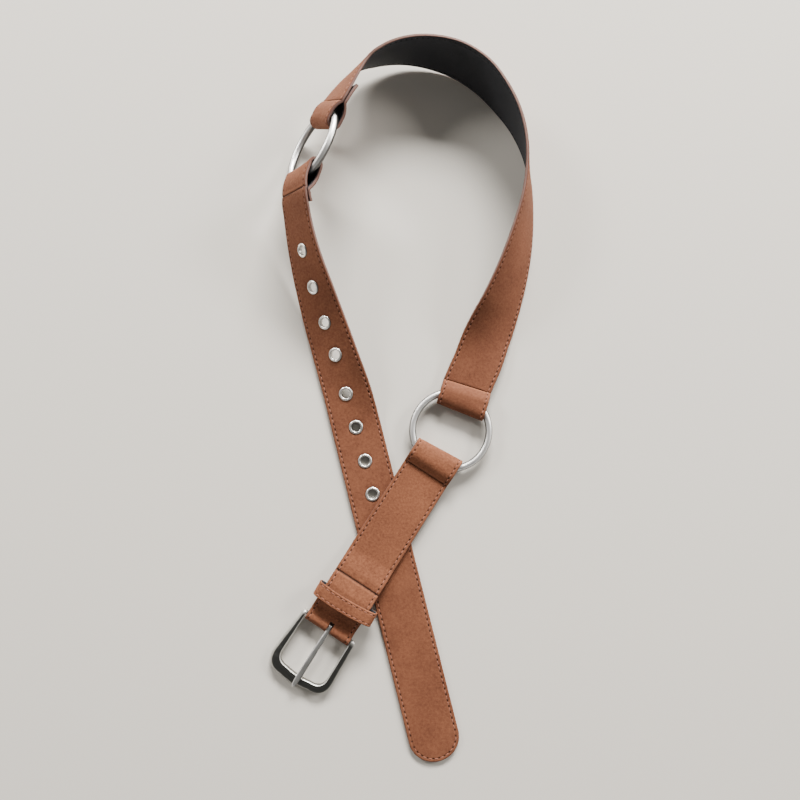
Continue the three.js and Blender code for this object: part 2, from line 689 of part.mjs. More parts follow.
// The keeper is a closed leather loop round the upper layer of the strap, with room above it
// for the tip of the belt. Its lower side lies between the two layers.
function keeper(group) {
  const { along, aside, length, innerHalf, wall, freeHeight, turn, corner } = KEEPER;
  const floorHeight = KEEPER_BULGE - CLEARANCE;
  const roof = KEEPER_BULGE + STRAP_THICKNESS + freeHeight;
  const loop = roundedBox(innerHalf + wall, floorHeight - wall, roof + wall, corner, new THREE.Shape());
  loop.holes.push(roundedBox(innerHalf, floorHeight, roof, corner - wall, new THREE.Path()));
  const geometry = new THREE.ExtrudeGeometry(loop, { depth: length, bevelEnabled: false, curveSegments: 4 });
  geometry.translate(0, -BAR_HEIGHT, -length / 2);
  geometry.applyMatrix4(new THREE.Matrix4().makeBasis(
    new THREE.Vector3(0, 1, 0), new THREE.Vector3(0, 0, 1), new THREE.Vector3(1, 0, 0),
  ));
  const mesh = addMesh(group, "keeper", geometry, LEATHER);
  mesh.position.set(-along, aside, 0);
  mesh.rotation.z = degrees(turn);
}

function rings(group) {
  const torus = () => new THREE.TorusGeometry(RING_RADIUS, ROD_RADIUS, 12, 48);
  addMesh(group, "ring_front", torus(), SATIN_SILVER).position.copy(frontCentre);
  const steep = new THREE.Vector3().crossVectors(backNormal, backLevel);
  const back = addMesh(group, "ring_back", torus(), SATIN_SILVER);
  back.position.copy(backCentre);
  back.quaternion.setFromRotationMatrix(new THREE.Matrix4().makeBasis(backLevel, steep, backNormal));
}

const belt = new THREE.Group();
const buckle = new THREE.Group();
buckle.applyMatrix4(buckleMatrix());
belt.add(buckle);
buckleStrap(belt);
middleStrap(belt);
holeStrap(belt);
rings(belt);
buckleFrame(buckle);
bucklePin(buckle);
keeper(buckle);

// The origin is under the middle of the belt's bounding box, on the floor.
const bounds = new THREE.Box3().setFromObject(belt, true);
const middle = bounds.getCenter(new THREE.Vector3());
belt.position.set(-middle.x, -middle.y, -bounds.min.z);

export default belt;
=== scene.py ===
"""Ring belt: nubuck straps, stitching, rings, eyelets and buckle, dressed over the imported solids.

Sizes are in millimetres until a piece is made. Plan coordinates have +Y to the top of the loop.
Every strap runs the same way: buckle, front ring, right side, top, back ring, left side, tip.
Across a strap, v runs from the edge inside the loop (+) to the outer edge (-), and heights are
measured along the strap's normal from its middle surface.
"""

import math
import random

import bpy
import numpy as np
from mathutils import Matrix, Vector


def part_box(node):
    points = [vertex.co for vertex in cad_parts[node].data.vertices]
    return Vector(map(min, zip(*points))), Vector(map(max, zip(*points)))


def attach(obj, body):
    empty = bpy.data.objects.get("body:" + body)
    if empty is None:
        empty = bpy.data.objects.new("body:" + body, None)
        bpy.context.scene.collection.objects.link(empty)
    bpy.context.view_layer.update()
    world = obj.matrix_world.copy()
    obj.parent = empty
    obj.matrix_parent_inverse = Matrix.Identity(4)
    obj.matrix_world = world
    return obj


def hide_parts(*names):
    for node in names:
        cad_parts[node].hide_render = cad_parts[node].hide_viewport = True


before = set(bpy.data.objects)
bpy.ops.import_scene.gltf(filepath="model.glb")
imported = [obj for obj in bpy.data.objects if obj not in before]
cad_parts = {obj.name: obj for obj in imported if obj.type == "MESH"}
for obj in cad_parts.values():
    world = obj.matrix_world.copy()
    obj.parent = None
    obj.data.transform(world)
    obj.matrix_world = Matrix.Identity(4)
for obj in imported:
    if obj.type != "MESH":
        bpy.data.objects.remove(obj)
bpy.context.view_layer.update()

MM = 0.001
UP = np.array([0.0, 0.0, 1.0])

# Leather
HALF_WIDTH = 17.5
HALF_THICKNESS = 1.15
CLEARANCE = 0.3
LAYER_PITCH = 2.6
SEAM_GAP = 0.03
STITCH_INSET = 2.3
STITCH_LINE = HALF_WIDTH - STITCH_INSET
STITCH_PITCH = 4.0
ROW = 0.5
COLUMN, EYELET_COLUMN = 2.2, 0.62

# Folds, measured from the crease: its straight run, where the body and the free end take over
CREASE_RUN, BODY_START, FREE_END_START = 1.2, 1.5, 1.7
CREASE_ROUNDING = 1.3
FAR_FROM_CREASE = 12.0
FOLD_TOP = 2.0
FOLD_FULLNESS = 2.1
FOLD_BARREL = 0.92

# Least run along the fold's top, least room for its climb, and how much of its end is round
TOP_RUN, CLIMB_ROOM, END_ROUND = 0.3, 0.2, 0.9
UNDER_START = math.pi / 16
CLIMB_STEPS, CROWN_STEPS, UNDER_STEPS = 14, 16, 8

# A path's corner that turns less than this, in radians, is left as it is
STRAIGHT = 0.01

# Rings
RING_RADIUS = 27.0
ROD_RADIUS = 2.2
FRONT_ROD_RADIUS, BACK_ROD_RADIUS = 2.4, 2.55
RING_FOLD_RADIUS = ROD_RADIUS + CLEARANCE + HALF_THICKNESS
FLAT_FOLD_LEVEL = RING_FOLD_RADIUS - LAYER_PITCH
EVEN_FOLD_LEVEL = -LAYER_PITCH / 2
FRONT_RING = np.array([35.9, -22.0, 4.8])
BACK_RING_TILT = math.radians(55.0)
BACK_RING_AZIMUTH = math.radians(158.8)
BACK_RING = np.array([-61.9, 176.2, ROD_RADIUS + RING_RADIUS * math.sin(BACK_RING_TILT)])

# Strap ends at the rings, as in the solids: height of the fold's middle, distance from the crease
# to the ring's centre, sideways offset, slack of the fold past the rod on its two edges, how much
# rounder it is than the rod needs, length of the free end, and how far that stands off at its end
FRONT_UPPER_END = dict(
    level=FLAT_FOLD_LEVEL, crease=33.3, aside=2.0, inner=1.9, outer=1.0, round=0.0, tail=12.0, flare=0,
)
FRONT_LOWER_END = dict(
    level=FLAT_FOLD_LEVEL, crease=34.2, aside=1.3, inner=0.6, outer=0.9, round=0.0, tail=10.0, flare=0,
)
BACK_UPPER_END = dict(
    level=EVEN_FOLD_LEVEL, crease=34.2, aside=0.2, inner=1.0, outer=0.7, round=0.9, tail=11.5, flare=1.1,
)
BACK_LOWER_END = dict(
    level=EVEN_FOLD_LEVEL, crease=36.8, aside=-1.2, inner=0.9, outer=0.8, round=0.6, tail=7.5, flare=0.6,
)
FRONT_UPPER_HEADING = math.radians(72.5)
BACK_UPPER_TURN, BACK_LOWER_TURN = math.radians(13.0), math.radians(-7.5)

# Lower edge of the middle strap: x, y, lift off the floor, lean of the face
MIDDLE_ROUTE = [
    (72.0, 21.0, 2.7, 2), (77.0, 35.4, 1.6, 10), (82.0, 50.0, 0.4, 22),
    (86.4, 64.9, 0.05, 34), (91.0, 83.0, 0.05, 43.5), (94.4, 101.0, 0.05, 51.5),
    (96.5, 120.0, 0.05, 60), (97.1, 140.0, 0.05, 69), (95.9, 160.5, 0.05, 76),
    (91.5, 180.5, 0.05, 83), (83.0, 199.3, 0.05, 90.5), (70.9, 215.6, 0.05, 98),
    (57.2, 229.9, 0.05, 103), (40.6, 241.4, 0.3, 102.5), (22.1, 248.4, 1.2, 96.5),
    (2.5, 251.2, 2.6, 88), (-17.3, 248.6, 4.5, 78), (-34.5, 240.6, 7.6, 66),
]
HOLE_ROUTE = [
    (-81.8, 125.0, 10.0, 54.5), (-80.0, 108.5, 6.8, 51), (-77.1, 91.0, 4.2, 46),
    (-73.3, 72.7, 1.9, 39), (-69.0, 54.5, 0.3, 32.5), (-64.0, 36.5, 0.05, 27),
    (-59.0, 18.5, 0.05, 20.5), (-54.1, 0.5, 0.05, 11), (-49.5, -18.0, 0.1, 3),
    (-44.8, -36.5, 0.05, 0.3), (-39.9, -55.7, 0.0, 0),
]
TAIL_LENGTH = 202.5
TIP_LENGTH = 16.5
TIP_SPOKES = 97

# Buckle strap: distance from the heel bar and height of the underside
BAR_FOOT = np.array([-49.2, -157.6, 0.0])
BAR_RADIUS = 1.3
BAR_HEIGHT = 2 * HALF_THICKNESS + CLEARANCE + BAR_RADIUS
BAR_FOLD_RADIUS = BAR_RADIUS + CLEARANCE + HALF_THICKNESS
KEEPER_WALL = 1.6
KEEPER_BULGE = 2 * LAYER_PITCH + KEEPER_WALL + CLEARANCE
BUCKLE_LOWER = [(41.5, LAYER_PITCH), (25.5, LAYER_PITCH), (8.5, 0.0)]
BUCKLE_UPPER = [
    (7.5, LAYER_PITCH), (14.5, KEEPER_BULGE), (26.6, KEEPER_BULGE),
    (36.5, 2 * LAYER_PITCH), (42.1, 2 * LAYER_PITCH), (54.5, LAYER_PITCH),
]
BUCKLE_LOWER_ROUNDING = 12
BUCKLE_UPPER_ROUNDINGS = (2.6, 5.0, 7.0, 1.5, 12.0, 16.0)
BUCKLE_CREASE = 36.5
BUCKLE_STRAIGHT_END = 20
BAR_ARC_STEPS = 30
SLOT_REAR, SLOT_HALF, SLOT_CLEAR = 3.5, 1.7, 0.5
PRONG_ASIDE = 0.8
FRAME_THICKNESS = 4.4
FRAME_FRONT = (42.5 + 45.3) / 2
FRAME_TILT = math.asin((BAR_HEIGHT - FRAME_THICKNESS / 2) / (FRAME_FRONT - 0.5))

# Eyelets: distance from the crease at the back ring, and offset to the strap's inner edge
EYELETS = [
    (39.6, 0.0), (66.1, 0.0), (92.2, 0.7), (116.2, 0.6),
    (144.8, -1.0), (169.6, -0.2), (194.5, 0.2), (218.4, -0.3),
]
FACE_BORE = 4.25
LINING_BORE = 5.25

front_low, front_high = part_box("ring_front")
SHIFT = np.array((front_low + front_high) / 2) - FRONT_RING * MM


def unit(vectors):
    return vectors / np.linalg.norm(vectors, axis=-1, keepdims=True)


def turned(vector, axis, angle):
    return np.array(Matrix.Rotation(angle, 3, Vector(axis)) @ Vector(vector))


# Strap geometry


class Section:
    """A cut across a strap: centre, direction of travel, w to the loop's inside, n out of the face."""

    def __init__(self, centre, travel, across):
        self.centre = np.array(centre, float)
        self.travel = np.array(travel, float)
        self.w = unit(across - self.travel * np.dot(across, self.travel))
        self.n = np.cross(self.travel, self.w)


class Rows:
    """Rows across a strap: points and normals on its inner edge, its middle and its outer edge."""

    def __init__(self):
        self.points, self.normals, self.crease = [], [], []

    def add(self, points, normals, crease=FAR_FROM_CREASE):
        self.points.append(points)
        self.normals.append(normals)
        self.crease.append(crease)

    def add_straight(self, centre, across, normal, crease=FAR_FROM_CREASE):
        edge = across * HALF_WIDTH
        self.add([centre + edge, centre, centre - edge], [normal] * 3, crease)

    def extend(self, other, step=1):
        self.points += other.points[::step]
        self.normals += other.normals[::step]
        self.crease += other.crease[::step]

    def blend(self, values, share):
        """Values across the strap, on a parabola through its two edges and its middle."""
        inner, middle, outer = np.moveaxis(np.array(values), 1, 0)[:, :, None]
        near_inner = inner * (1 - share) * (1 - 2 * share)
        return near_inner + middle * 4 * share * (1 - share) + outer * share * (2 * share - 1)

    def surface(self, v, height):
        """Points at v across the strap and at a height, for arrays of rows by columns."""
        share = np.broadcast_to((HALF_WIDTH - v) / (2 * HALF_WIDTH), height.shape)[..., None]
        return self.blend(self.points, share) + self.blend(self.normals, share) * height[..., None]

    def line(self, v, height):
        """Points along the strap at one v and one height."""
        return self.surface(v, np.full((len(self.crease), 1), height))[:, 0]

    def line_normals(self, v):
        return unit(self.blend(self.normals, (HALF_WIDTH - v) / (2 * HALF_WIDTH))[:, 0])


def route_sections(route):
    edge = [np.array(row[:3]) for row in route]
    sections = []
    for i, (_, _, _, lean) in enumerate(route):
        travel = unit(edge[min(i + 1, len(edge) - 1)] - edge[max(i - 1, 0)])
        inwards = unit(np.cross(UP, travel))
        across = inwards * math.cos(math.radians(lean)) + UP * math.sin(math.radians(lean))
        rise = HALF_THICKNESS * abs(math.cos(math.radians(lean)))
        sections.append(Section(edge[i] + across * HALF_WIDTH + UP * rise, travel, across))
    return sections


def spline(a, b, c, d, t):
    """Place between b and c, at t from 0 to 1, on a smooth curve through four points."""
    start = 2 * b + (c - a) * t
    return 0.5 * (start + (2 * a - 5 * b + 4 * c - d) * t * t + (3 * b - a - 3 * c + d) * t ** 3)


def smooth_sections(knots):
    first, last = knots[0], knots[-1]
    reach_in = np.linalg.norm(first.centre - knots[1].centre)
    reach_out = np.linalg.norm(last.centre - knots[-2].centre)
    centres = [first.centre - first.travel * reach_in]
    centres += [knot.centre for knot in knots] + [last.centre + last.travel * reach_out]
    across = [first.w] + [knot.w for knot in knots] + [last.w]
    sections = [first]
    for k in range(1, len(knots)):
        steps = math.ceil(np.linalg.norm(centres[k + 1] - centres[k]) / ROW)
        near = centres[k - 1:k + 3]
        for count in range(1, steps + 1):
            t = count / steps
            travel = unit(spline(*near, t + 0.01) - spline(*near, t - 0.01))
            sections.append(Section(spline(*near, t), travel, spline(*across[k - 1:k + 3], t)))
    sections[-1] = last
    return sections


def walked(points):
    """Distance along a line of points, at each of them."""
    return np.concatenate([[0], np.cumsum(np.linalg.norm(np.diff(points, axis=0), axis=1))])


def section_at(sections, distance):
    lengths = walked([section.centre for section in sections])
    k = int(np.clip(np.searchsorted(lengths, distance), 1, len(sections) - 1))
    a, b = sections[k - 1], sections[k]
    share = (distance - lengths[k - 1]) / (lengths[k] - lengths[k - 1])
    centre = a.centre * (1 - share) + b.centre * share
    return Section(centre, unit(b.centre - a.centre), a.w * (1 - share) + b.w * share)


def arc(x, y, radius, start, end, steps):
    angles = np.linspace(start, end, steps + 1)
    return list(np.stack([x + radius * np.cos(angles), y + radius * np.sin(angles)], axis=1))


def rounded(path, radii, steps=8):
    """A path with some of its corners rounded. radii gives the radius at a point's number."""
    out = []
    for i, corner in enumerate(path):
        if i not in radii:
            out.append(corner)
            continue
        back, ahead = path[i - 1] - corner, path[i + 1] - corner
        turn = math.pi - math.acos(np.clip(np.dot(unit(back), unit(ahead)), -1, 1))
        if turn < STRAIGHT:
            out.append(corner)
            continue
        reach = 0.48 * min(np.linalg.norm(back), np.linalg.norm(ahead))
        reach = min(radii[i] * math.tan(turn / 2), reach)
        start, end = corner + unit(back) * reach, corner + unit(ahead) * reach
        out += [start, *curve_points(start, corner, end, steps)]
    return out


def curve_points(start, control, end, steps):
    shares = np.arange(1, steps + 1) / steps
    return [start * (1 - t) ** 2 + control * 2 * t * (1 - t) + end * t * t for t in shares]


def divided(paths):
    """Paths with the same count of points, divided finely and alike."""
    counts = [
        max(1, math.ceil(max(np.linalg.norm(path[k + 1] - path[k]) for path in paths) / ROW))
        for k in range(len(paths[0]) - 1)
    ]
    fine = []
    for path in paths:
        points = [path[0]]
        for k, count in enumerate(counts):
            points += [path[k] + (path[k + 1] - path[k]) * i / count for i in range(1, count + 1)]
        fine.append(np.array(points))
    return fine


def side_normals(path):
    """Normals of a plane path: its direction turned a quarter left."""
    travel = unit(np.gradient(path, axis=0))
    return np.stack([-travel[:, 1], travel[:, 0]], axis=1)


def fold_path(top_at, over, end, level, radius):
    """Middle surface of a strap end round a ring, from the crease over the rod and back under it.

    It climbs in a curve to its top at top_at, keeps it until over, and rounds down to its end like
    a barrel. Its underside comes back in the same curve.
    """
    quarter = math.pi / 2
    shares = np.arange(1, CLIMB_STEPS + 1) / CLIMB_STEPS
    lifts = 1 - (1 - shares) ** FOLD_FULLNESS
    angles = quarter * np.arange(1, CROWN_STEPS + 1) / CROWN_STEPS
    drop = level - radius + LAYER_PITCH
    path = [
        (-CREASE_RUN, 0.0), (0.0, 0.0),
        *zip(top_at * shares, (level + radius) * lifts),
        *zip(over + (end - over) * np.sin(angles) ** FOLD_BARREL, level + radius * np.cos(angles)),
        *arc(end - radius, level, radius, -UNDER_START, -quarter, UNDER_STEPS),
        *zip(top_at * shares[::-1], drop * lifts[::-1] - LAYER_PITCH),
        (0.0, -LAYER_PITCH), (-CREASE_RUN, -LAYER_PITCH),
    ]
    path = [np.array(point) for point in path]
    return rounded(path, {1: CREASE_ROUNDING, len(path) - 2: CREASE_ROUNDING})


def ring_fold(body, end, at_start):
    """Rows of a strap end round a ring, from the crease to the free end behind it."""
    crease = body[0] if at_start else body[-1]
    towards = crease.travel * (-1 if at_start else 1)
    whole = walked([section.centre for section in body])[-1]
    radius = RING_FOLD_RADIUS + end["round"]
    top_at = end["crease"] - RING_RADIUS + FOLD_TOP

    def rod_at(side):
        place = side * HALF_WIDTH - end["aside"]
        return end["crease"] - math.sqrt(RING_RADIUS ** 2 - place ** 2)

    paths = []
    for rod, edge_rod, slack in (
        (rod_at(1), rod_at(1), end["inner"]),
        (rod_at(0), (rod_at(1) + rod_at(-1)) / 2, (end["inner"] + end["outer"]) / 2),
        (rod_at(-1), rod_at(-1), end["outer"]),
    ):
        tip = edge_rod + slack + RING_FOLD_RADIUS
        over = min(max(top_at + TOP_RUN, rod), tip - radius * END_ROUND)
        paths.append(fold_path(min(top_at, over - CLIMB_ROOM), over, tip, end["level"], radius))
    paths = divided(paths)
    from_crease = walked(paths[0])
    from_crease -= from_crease[int(np.argmin(np.hypot(paths[0][:, 0], paths[0][:, 1])))]
    plane = np.stack([towards, crease.n])
    edges = crease.w * np.array([[HALF_WIDTH], [0.0], [-HALF_WIDTH]])
    rows = Rows()
    points = np.stack(paths, axis=1) @ plane + crease.centre + edges
    normals = np.stack([side_normals(path) for path in paths], axis=1) @ plane
    for row in zip(points, normals, np.minimum(from_crease, FAR_FROM_CREASE)):
        rows.add(*row)
    for distance in np.arange(FREE_END_START, end["tail"] + 0.01, ROW):
        cut = section_at(body, distance if at_start else whole - distance)
        drop = LAYER_PITCH + end["flare"] * (distance / end["tail"]) ** 2
        rows.add_straight(cut.centre - cut.n * drop, cut.w, -cut.n)
    return rows


def strap_rows(body, start, end=None):
    """Rows of a strap from its fold at one ring to its fold at the next, or to its free end."""
    rows = Rows()
    rows.extend(ring_fold(body, start, True), -1)
    along = walked([section.centre for section in body])
    for section, distance in zip(body, along):
        nearer = min(distance, along[-1] - distance) if end else distance
        if nearer > BODY_START:
            rows.add_straight(section.centre, section.w, section.n, -min(nearer, FAR_FROM_CREASE))
    if end:
        rows.extend(ring_fold(body, end, False))
    return rows


def crease_at_ring(ring, travel, normal, end, sense):
    w = np.cross(normal, travel)
    centre = ring + travel * sense * end["crease"] - w * end["aside"] - normal * end["level"]
    return Section(centre, travel, w)


back_normal = np.array([
    math.sin(BACK_RING_TILT) * math.cos(BACK_RING_AZIMUTH),
    math.sin(BACK_RING_TILT) * math.sin(BACK_RING_AZIMUTH),
    math.cos(BACK_RING_TILT),
])
back_level = unit(np.cross(UP, back_normal))
upper_heading = np.array([math.cos(FRONT_UPPER_HEADING), math.sin(FRONT_UPPER_HEADING), 0.0])
back_upper_heading = turned(back_level, back_normal, -BACK_UPPER_TURN)
back_lower_heading = turned(back_level, back_normal, -BACK_LOWER_TURN)
middle_start = crease_at_ring(FRONT_RING, upper_heading, UP, FRONT_UPPER_END, 1)
middle_end = crease_at_ring(BACK_RING, back_upper_heading, back_normal, BACK_UPPER_END, -1)
hole_start = crease_at_ring(BACK_RING, back_lower_heading, back_normal, BACK_LOWER_END, 1)
bar_to_ring = (FRONT_RING - BAR_FOOT) * np.array([1.0, 1.0, 0.0])
buckle_turn = math.asin(FRONT_LOWER_END["aside"] / np.linalg.norm(bar_to_ring))
buckle_heading = turned(unit(bar_to_ring), UP, -buckle_turn)
buckle_across = np.cross(UP, buckle_heading)
buckle_end = crease_at_ring(FRONT_RING, buckle_heading, UP, FRONT_LOWER_END, -1)


def buckle_place(points, tilt=0.0):
    """Points of the buckle's own frame in the belt's: X away from the strap, Y along the bar, Z up."""
    points = np.asarray(points, float)
    x = points[..., 0] * math.cos(tilt) + points[..., 2] * math.sin(tilt)
    z = points[..., 2] * math.cos(tilt) - points[..., 0] * math.sin(tilt)
    local = np.stack([x, points[..., 1], z + BAR_HEIGHT], axis=-1)
    return BAR_FOOT + local @ np.stack([-buckle_heading, -buckle_across, UP])


# Making pieces


class Shell:
    """Points, point values and faces of one piece, in millimetres."""

    def __init__(self):
        self.points, self.values, self.faces, self.finish, self.count = [], [], [], [], 0

    def add(self, points, faces, finish=0, **values):
        points = np.asarray(points, float).reshape(-1, 3)
        faces = np.asarray(faces).reshape(-1, 4) + self.count
        values = {name: np.broadcast_to(np.ravel(value), len(points)) for name, value in values.items()}
        self.points.append(points)
        self.values.append(values)
        self.faces.append(faces)
        self.finish.append(np.full(len(faces), finish))
        self.count += len(points)

    def add_grid(self, grid, finish=0, keep=None, flip=False, **values):
        """A sheet through rows and columns of points, or the faces of it that are kept."""
        rows, columns = grid.shape[:2]
        index = np.arange(rows * columns).reshape(rows, columns)
        quads = np.stack([index[:-1, :-1], index[:-1, 1:], index[1:, 1:], index[1:, :-1]], axis=-1)
        quads = quads[..., ::-1] if flip else quads
        self.add(grid, quads if keep is None else quads[keep], finish, **values)

    def add_quads(self, corners, finish, flip=False, **values):
        """Separate quads, each from its four corners."""
        order = np.arange(4 * len(corners)).reshape(-1, 4)
        self.add(corners, order[:, ::-1] if flip else order, finish, **values)

    def add_tube(self, loops, closed=False, **values):
        """A tube through closed loops of points, all with the same count. An open one is capped."""
        loops = np.asarray(loops, float)
        rings, size = loops.shape[:2]
        index = np.arange(rings * size).reshape(rings, size)
        near = index if closed else index[:-1]
        far = np.roll(index, -1, axis=0)[:len(near)]
        quads = np.stack([near, np.roll(near, -1, axis=1), np.roll(far, -1, axis=1), far], axis=-1)
        points, faces = [loops.reshape(-1, 3)], [quads.reshape(-1, 4)]
        values = {name: np.ravel(value) for name, value in values.items()}
        if not closed:
            for cap, ring in enumerate((0, -1)):
                points.append([loops[ring].mean(axis=0)])
                middle = np.full(size, rings * size + cap)
                around = [index[ring], np.roll(index[ring], -1)]
                faces.append(np.stack(around[::-1 if ring == 0 else 1] + [middle, middle], axis=-1))
                values = {name: np.append(value, value[index[ring, 0]]) for name, value in values.items()}
        self.add(np.vstack(points), np.vstack(faces), **values)


SHARP_CORNER = math.radians(50)


def make_piece(name, shell, finishes, body, nodes):
    """An object from a shell, welded, and smooth but for sharp corners."""
    points = np.concatenate(shell.points)
    _, first, where = np.unique(np.round(points, 3), axis=0, return_index=True, return_inverse=True)
    faces = np.ravel(where)[np.concatenate(shell.faces)]
    polygons, numbers = [], []
    for corners, number in zip(faces.tolist(), np.concatenate(shell.finish).tolist()):
        kept = [c for k, c in enumerate(corners) if c != corners[k - 1]]
        if len(set(kept)) == len(kept) and len(kept) > 2:
            polygons.append(kept)
            numbers.append(number)
    mesh = bpy.data.meshes.new(name)
    mesh.from_pydata((points[first] * MM + SHIFT).tolist(), [], polygons)
    mesh.polygons.foreach_set("material_index", numbers)
    mesh.polygons.foreach_set("use_smooth", [True] * len(polygons))
    for key in sorted({key for values in shell.values for key in values}):
        parts = zip(shell.values, shell.points)
        column = np.concatenate([values.get(key, np.zeros(len(part))) for values, part in parts])
        mesh.attributes.new(key, "FLOAT", "POINT").data.foreach_set("value", column[first].astype("f"))
    mesh.validate()
    mesh.set_sharp_from_angle(angle=SHARP_CORNER)
    for finish in finishes:
        mesh.materials.append(finish)
    piece = bpy.data.objects.new(name, mesh)
    bpy.context.scene.collection.objects.link(piece)
    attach(piece, body)
    if nodes:
        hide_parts(*nodes)


# Sides of a grid's face: step to the face beyond, and the corners at the two ends of the side
FACE_SIDES = [
    ((-1, 0), (0, 0), (0, 1)), ((1, 0), (1, 1), (1, 0)),
    ((0, -1), (1, 0), (0, 0)), ((0, 1), (0, 1), (1, 1)),
]


def add_layer(shell, top, bottom, keep, top_marks, bottom_marks):
    """A sheet between two grids of points. Its cut sides take the second finish."""
    shell.add_grid(top, 0, keep, **top_marks)
    shell.add_grid(bottom, 0, keep, flip=True, **bottom_marks)
    padded = np.pad(keep, 1)
    rows, columns = top.shape[:2]
    walls = []
    for (down, right), a, b in FACE_SIDES:
        r, c = np.nonzero(keep & ~padded[1 + down:rows + down, 1 + right:columns + right])
        i, j = (r + a[0], c + a[1]), (r + b[0], c + b[1])
        walls.append(np.stack([top[j], top[i], bottom[i], bottom[j]], axis=1))
    shell.add_quads(np.concatenate(walls), 1)


# Leather layers of a strap

EDGE_INSETS = np.array([0.0, 0.03, 0.13, 0.31, 0.56, 0.88])
EDGE_HEIGHTS = np.array([0.42, 0.68, 0.88, 1.02, 1.10, 1.14])
FULL_HEIGHT_INSET = 1.3
SEWN_INSETS = np.array([1.3, 1.62, 1.86, 2.06, 2.3, 2.54, 2.74, 2.98, 3.4, 4.0])
NEEDLE_LENGTH, NEEDLE_WIDTH, NEEDLE_STEEPNESS = 0.58, 0.5, 1.5
CHANNEL_WIDTH = 0.55
PAINT_REACH = 0.5

# Depth of the stitch channel and of the needle holes
FACE_SEWING, TIP_SEWING, LINING_SEWING = (0.16, 0.36), (0.16, 0.32), (0.26, 0.2)
# A valley along each crease; its colour is also darkened there as painted shade
CREASE_WIDTH, CREASE_DEPTH = 0.75, 0.4
# A low ridge beside each crease, also painted lighter there as a painted highlight
RIDGE_AT, RIDGE_WIDTH, RIDGE_HEIGHT = 1.5, 0.8, 0.1
PUFF_AT, PUFF_WIDTH, PUFF_HEIGHT = 1.1, 0.9, 0.03
DISH_REACH, DISH_WIDTH, DISH_DEPTH = 7.6, 2.4, 0.22
BORE_REACH, BORE_SNAP, FAR_FROM_BORE = 4.0, 0.42, 99.0


def strap_columns(spacing, extra=()):
    """Places across a strap, finest at its edges and along the stitch lines."""
    side = HALF_WIDTH - np.concatenate([EDGE_INSETS, SEWN_INSETS])
    count = math.ceil(side[-1] / spacing)
    middle = np.linspace(side[-1], -side[-1], 2 * count + 1)[1:-1]
    v = np.concatenate([side, middle, -side[::-1]])
    return np.array(sorted(set(np.round(v, 4)) | set(extra), reverse=True))


def painted(inset, shape):
    """How much of the edge paint is left, from an edge inwards."""
    return np.broadcast_to(np.clip(1 - inset / PAINT_REACH, 0, 1), shape)


def needle_marks(along, inset):
    """How deep in a needle hole and in the stitch channel each point lies, from 0 to 1."""
    off_line = inset - STITCH_INSET
    to_hole = (along + STITCH_PITCH / 2) % STITCH_PITCH - STITCH_PITCH / 2
    hole = np.exp(-((to_hole / NEEDLE_LENGTH) ** 2 + (off_line / NEEDLE_WIDTH) ** 2) ** NEEDLE_STEEPNESS)
    return hole, np.exp(-(off_line / CHANNEL_WIDTH) ** 2)


def sewn_height(inset, hole, channel, channel_depth, hole_depth):
    """Height of a layer's outside, rounded at the edges and drawn in along its stitches."""
    insets, heights = np.append(EDGE_INSETS, FULL_HEIGHT_INSET), np.append(EDGE_HEIGHTS, HALF_THICKNESS)
    return np.interp(inset, insets, heights) - channel_depth * channel - hole_depth * hole


def from_axis(points, seat):
    """Points' rise along an eyelet's axis, their offset from it, and how far that is."""
    away = points - seat.centre
    rise = away @ seat.n
    offset = away - rise[..., None] * seat.n
    reach = np.linalg.norm(offset, axis=-1)
    return rise, offset, np.where(np.abs(rise) < BORE_REACH, reach, FAR_FROM_BORE)


def at_bores(points, seats, radius):
    """Distance from the nearest eyelet's axis. Points near a bore are put on it."""
    nearest = np.full(points.shape[:2], FAR_FROM_BORE)
    for seat in seats:
        rise, offset, distance = from_axis(points, seat)
        near = np.abs(distance - radius) < BORE_SNAP
        outwards = offset[near] / distance[near][:, None]
        points[near] = outwards * radius + rise[near][:, None] * seat.n + seat.centre
        distance[near] = radius
        nearest = np.minimum(nearest, distance)
    return nearest


def bored(outside, inside, seats, radius, keep):
    """The faces that a layer keeps round its eyelets. Both its sides are fitted to the bores."""
    within = at_bores(outside, seats, radius) <= radius + 1e-6
    at_bores(inside, seats, radius)
    return keep & ~(within[:-1, :-1] & within[:-1, 1:] & within[1:, 1:] & within[1:, :-1])
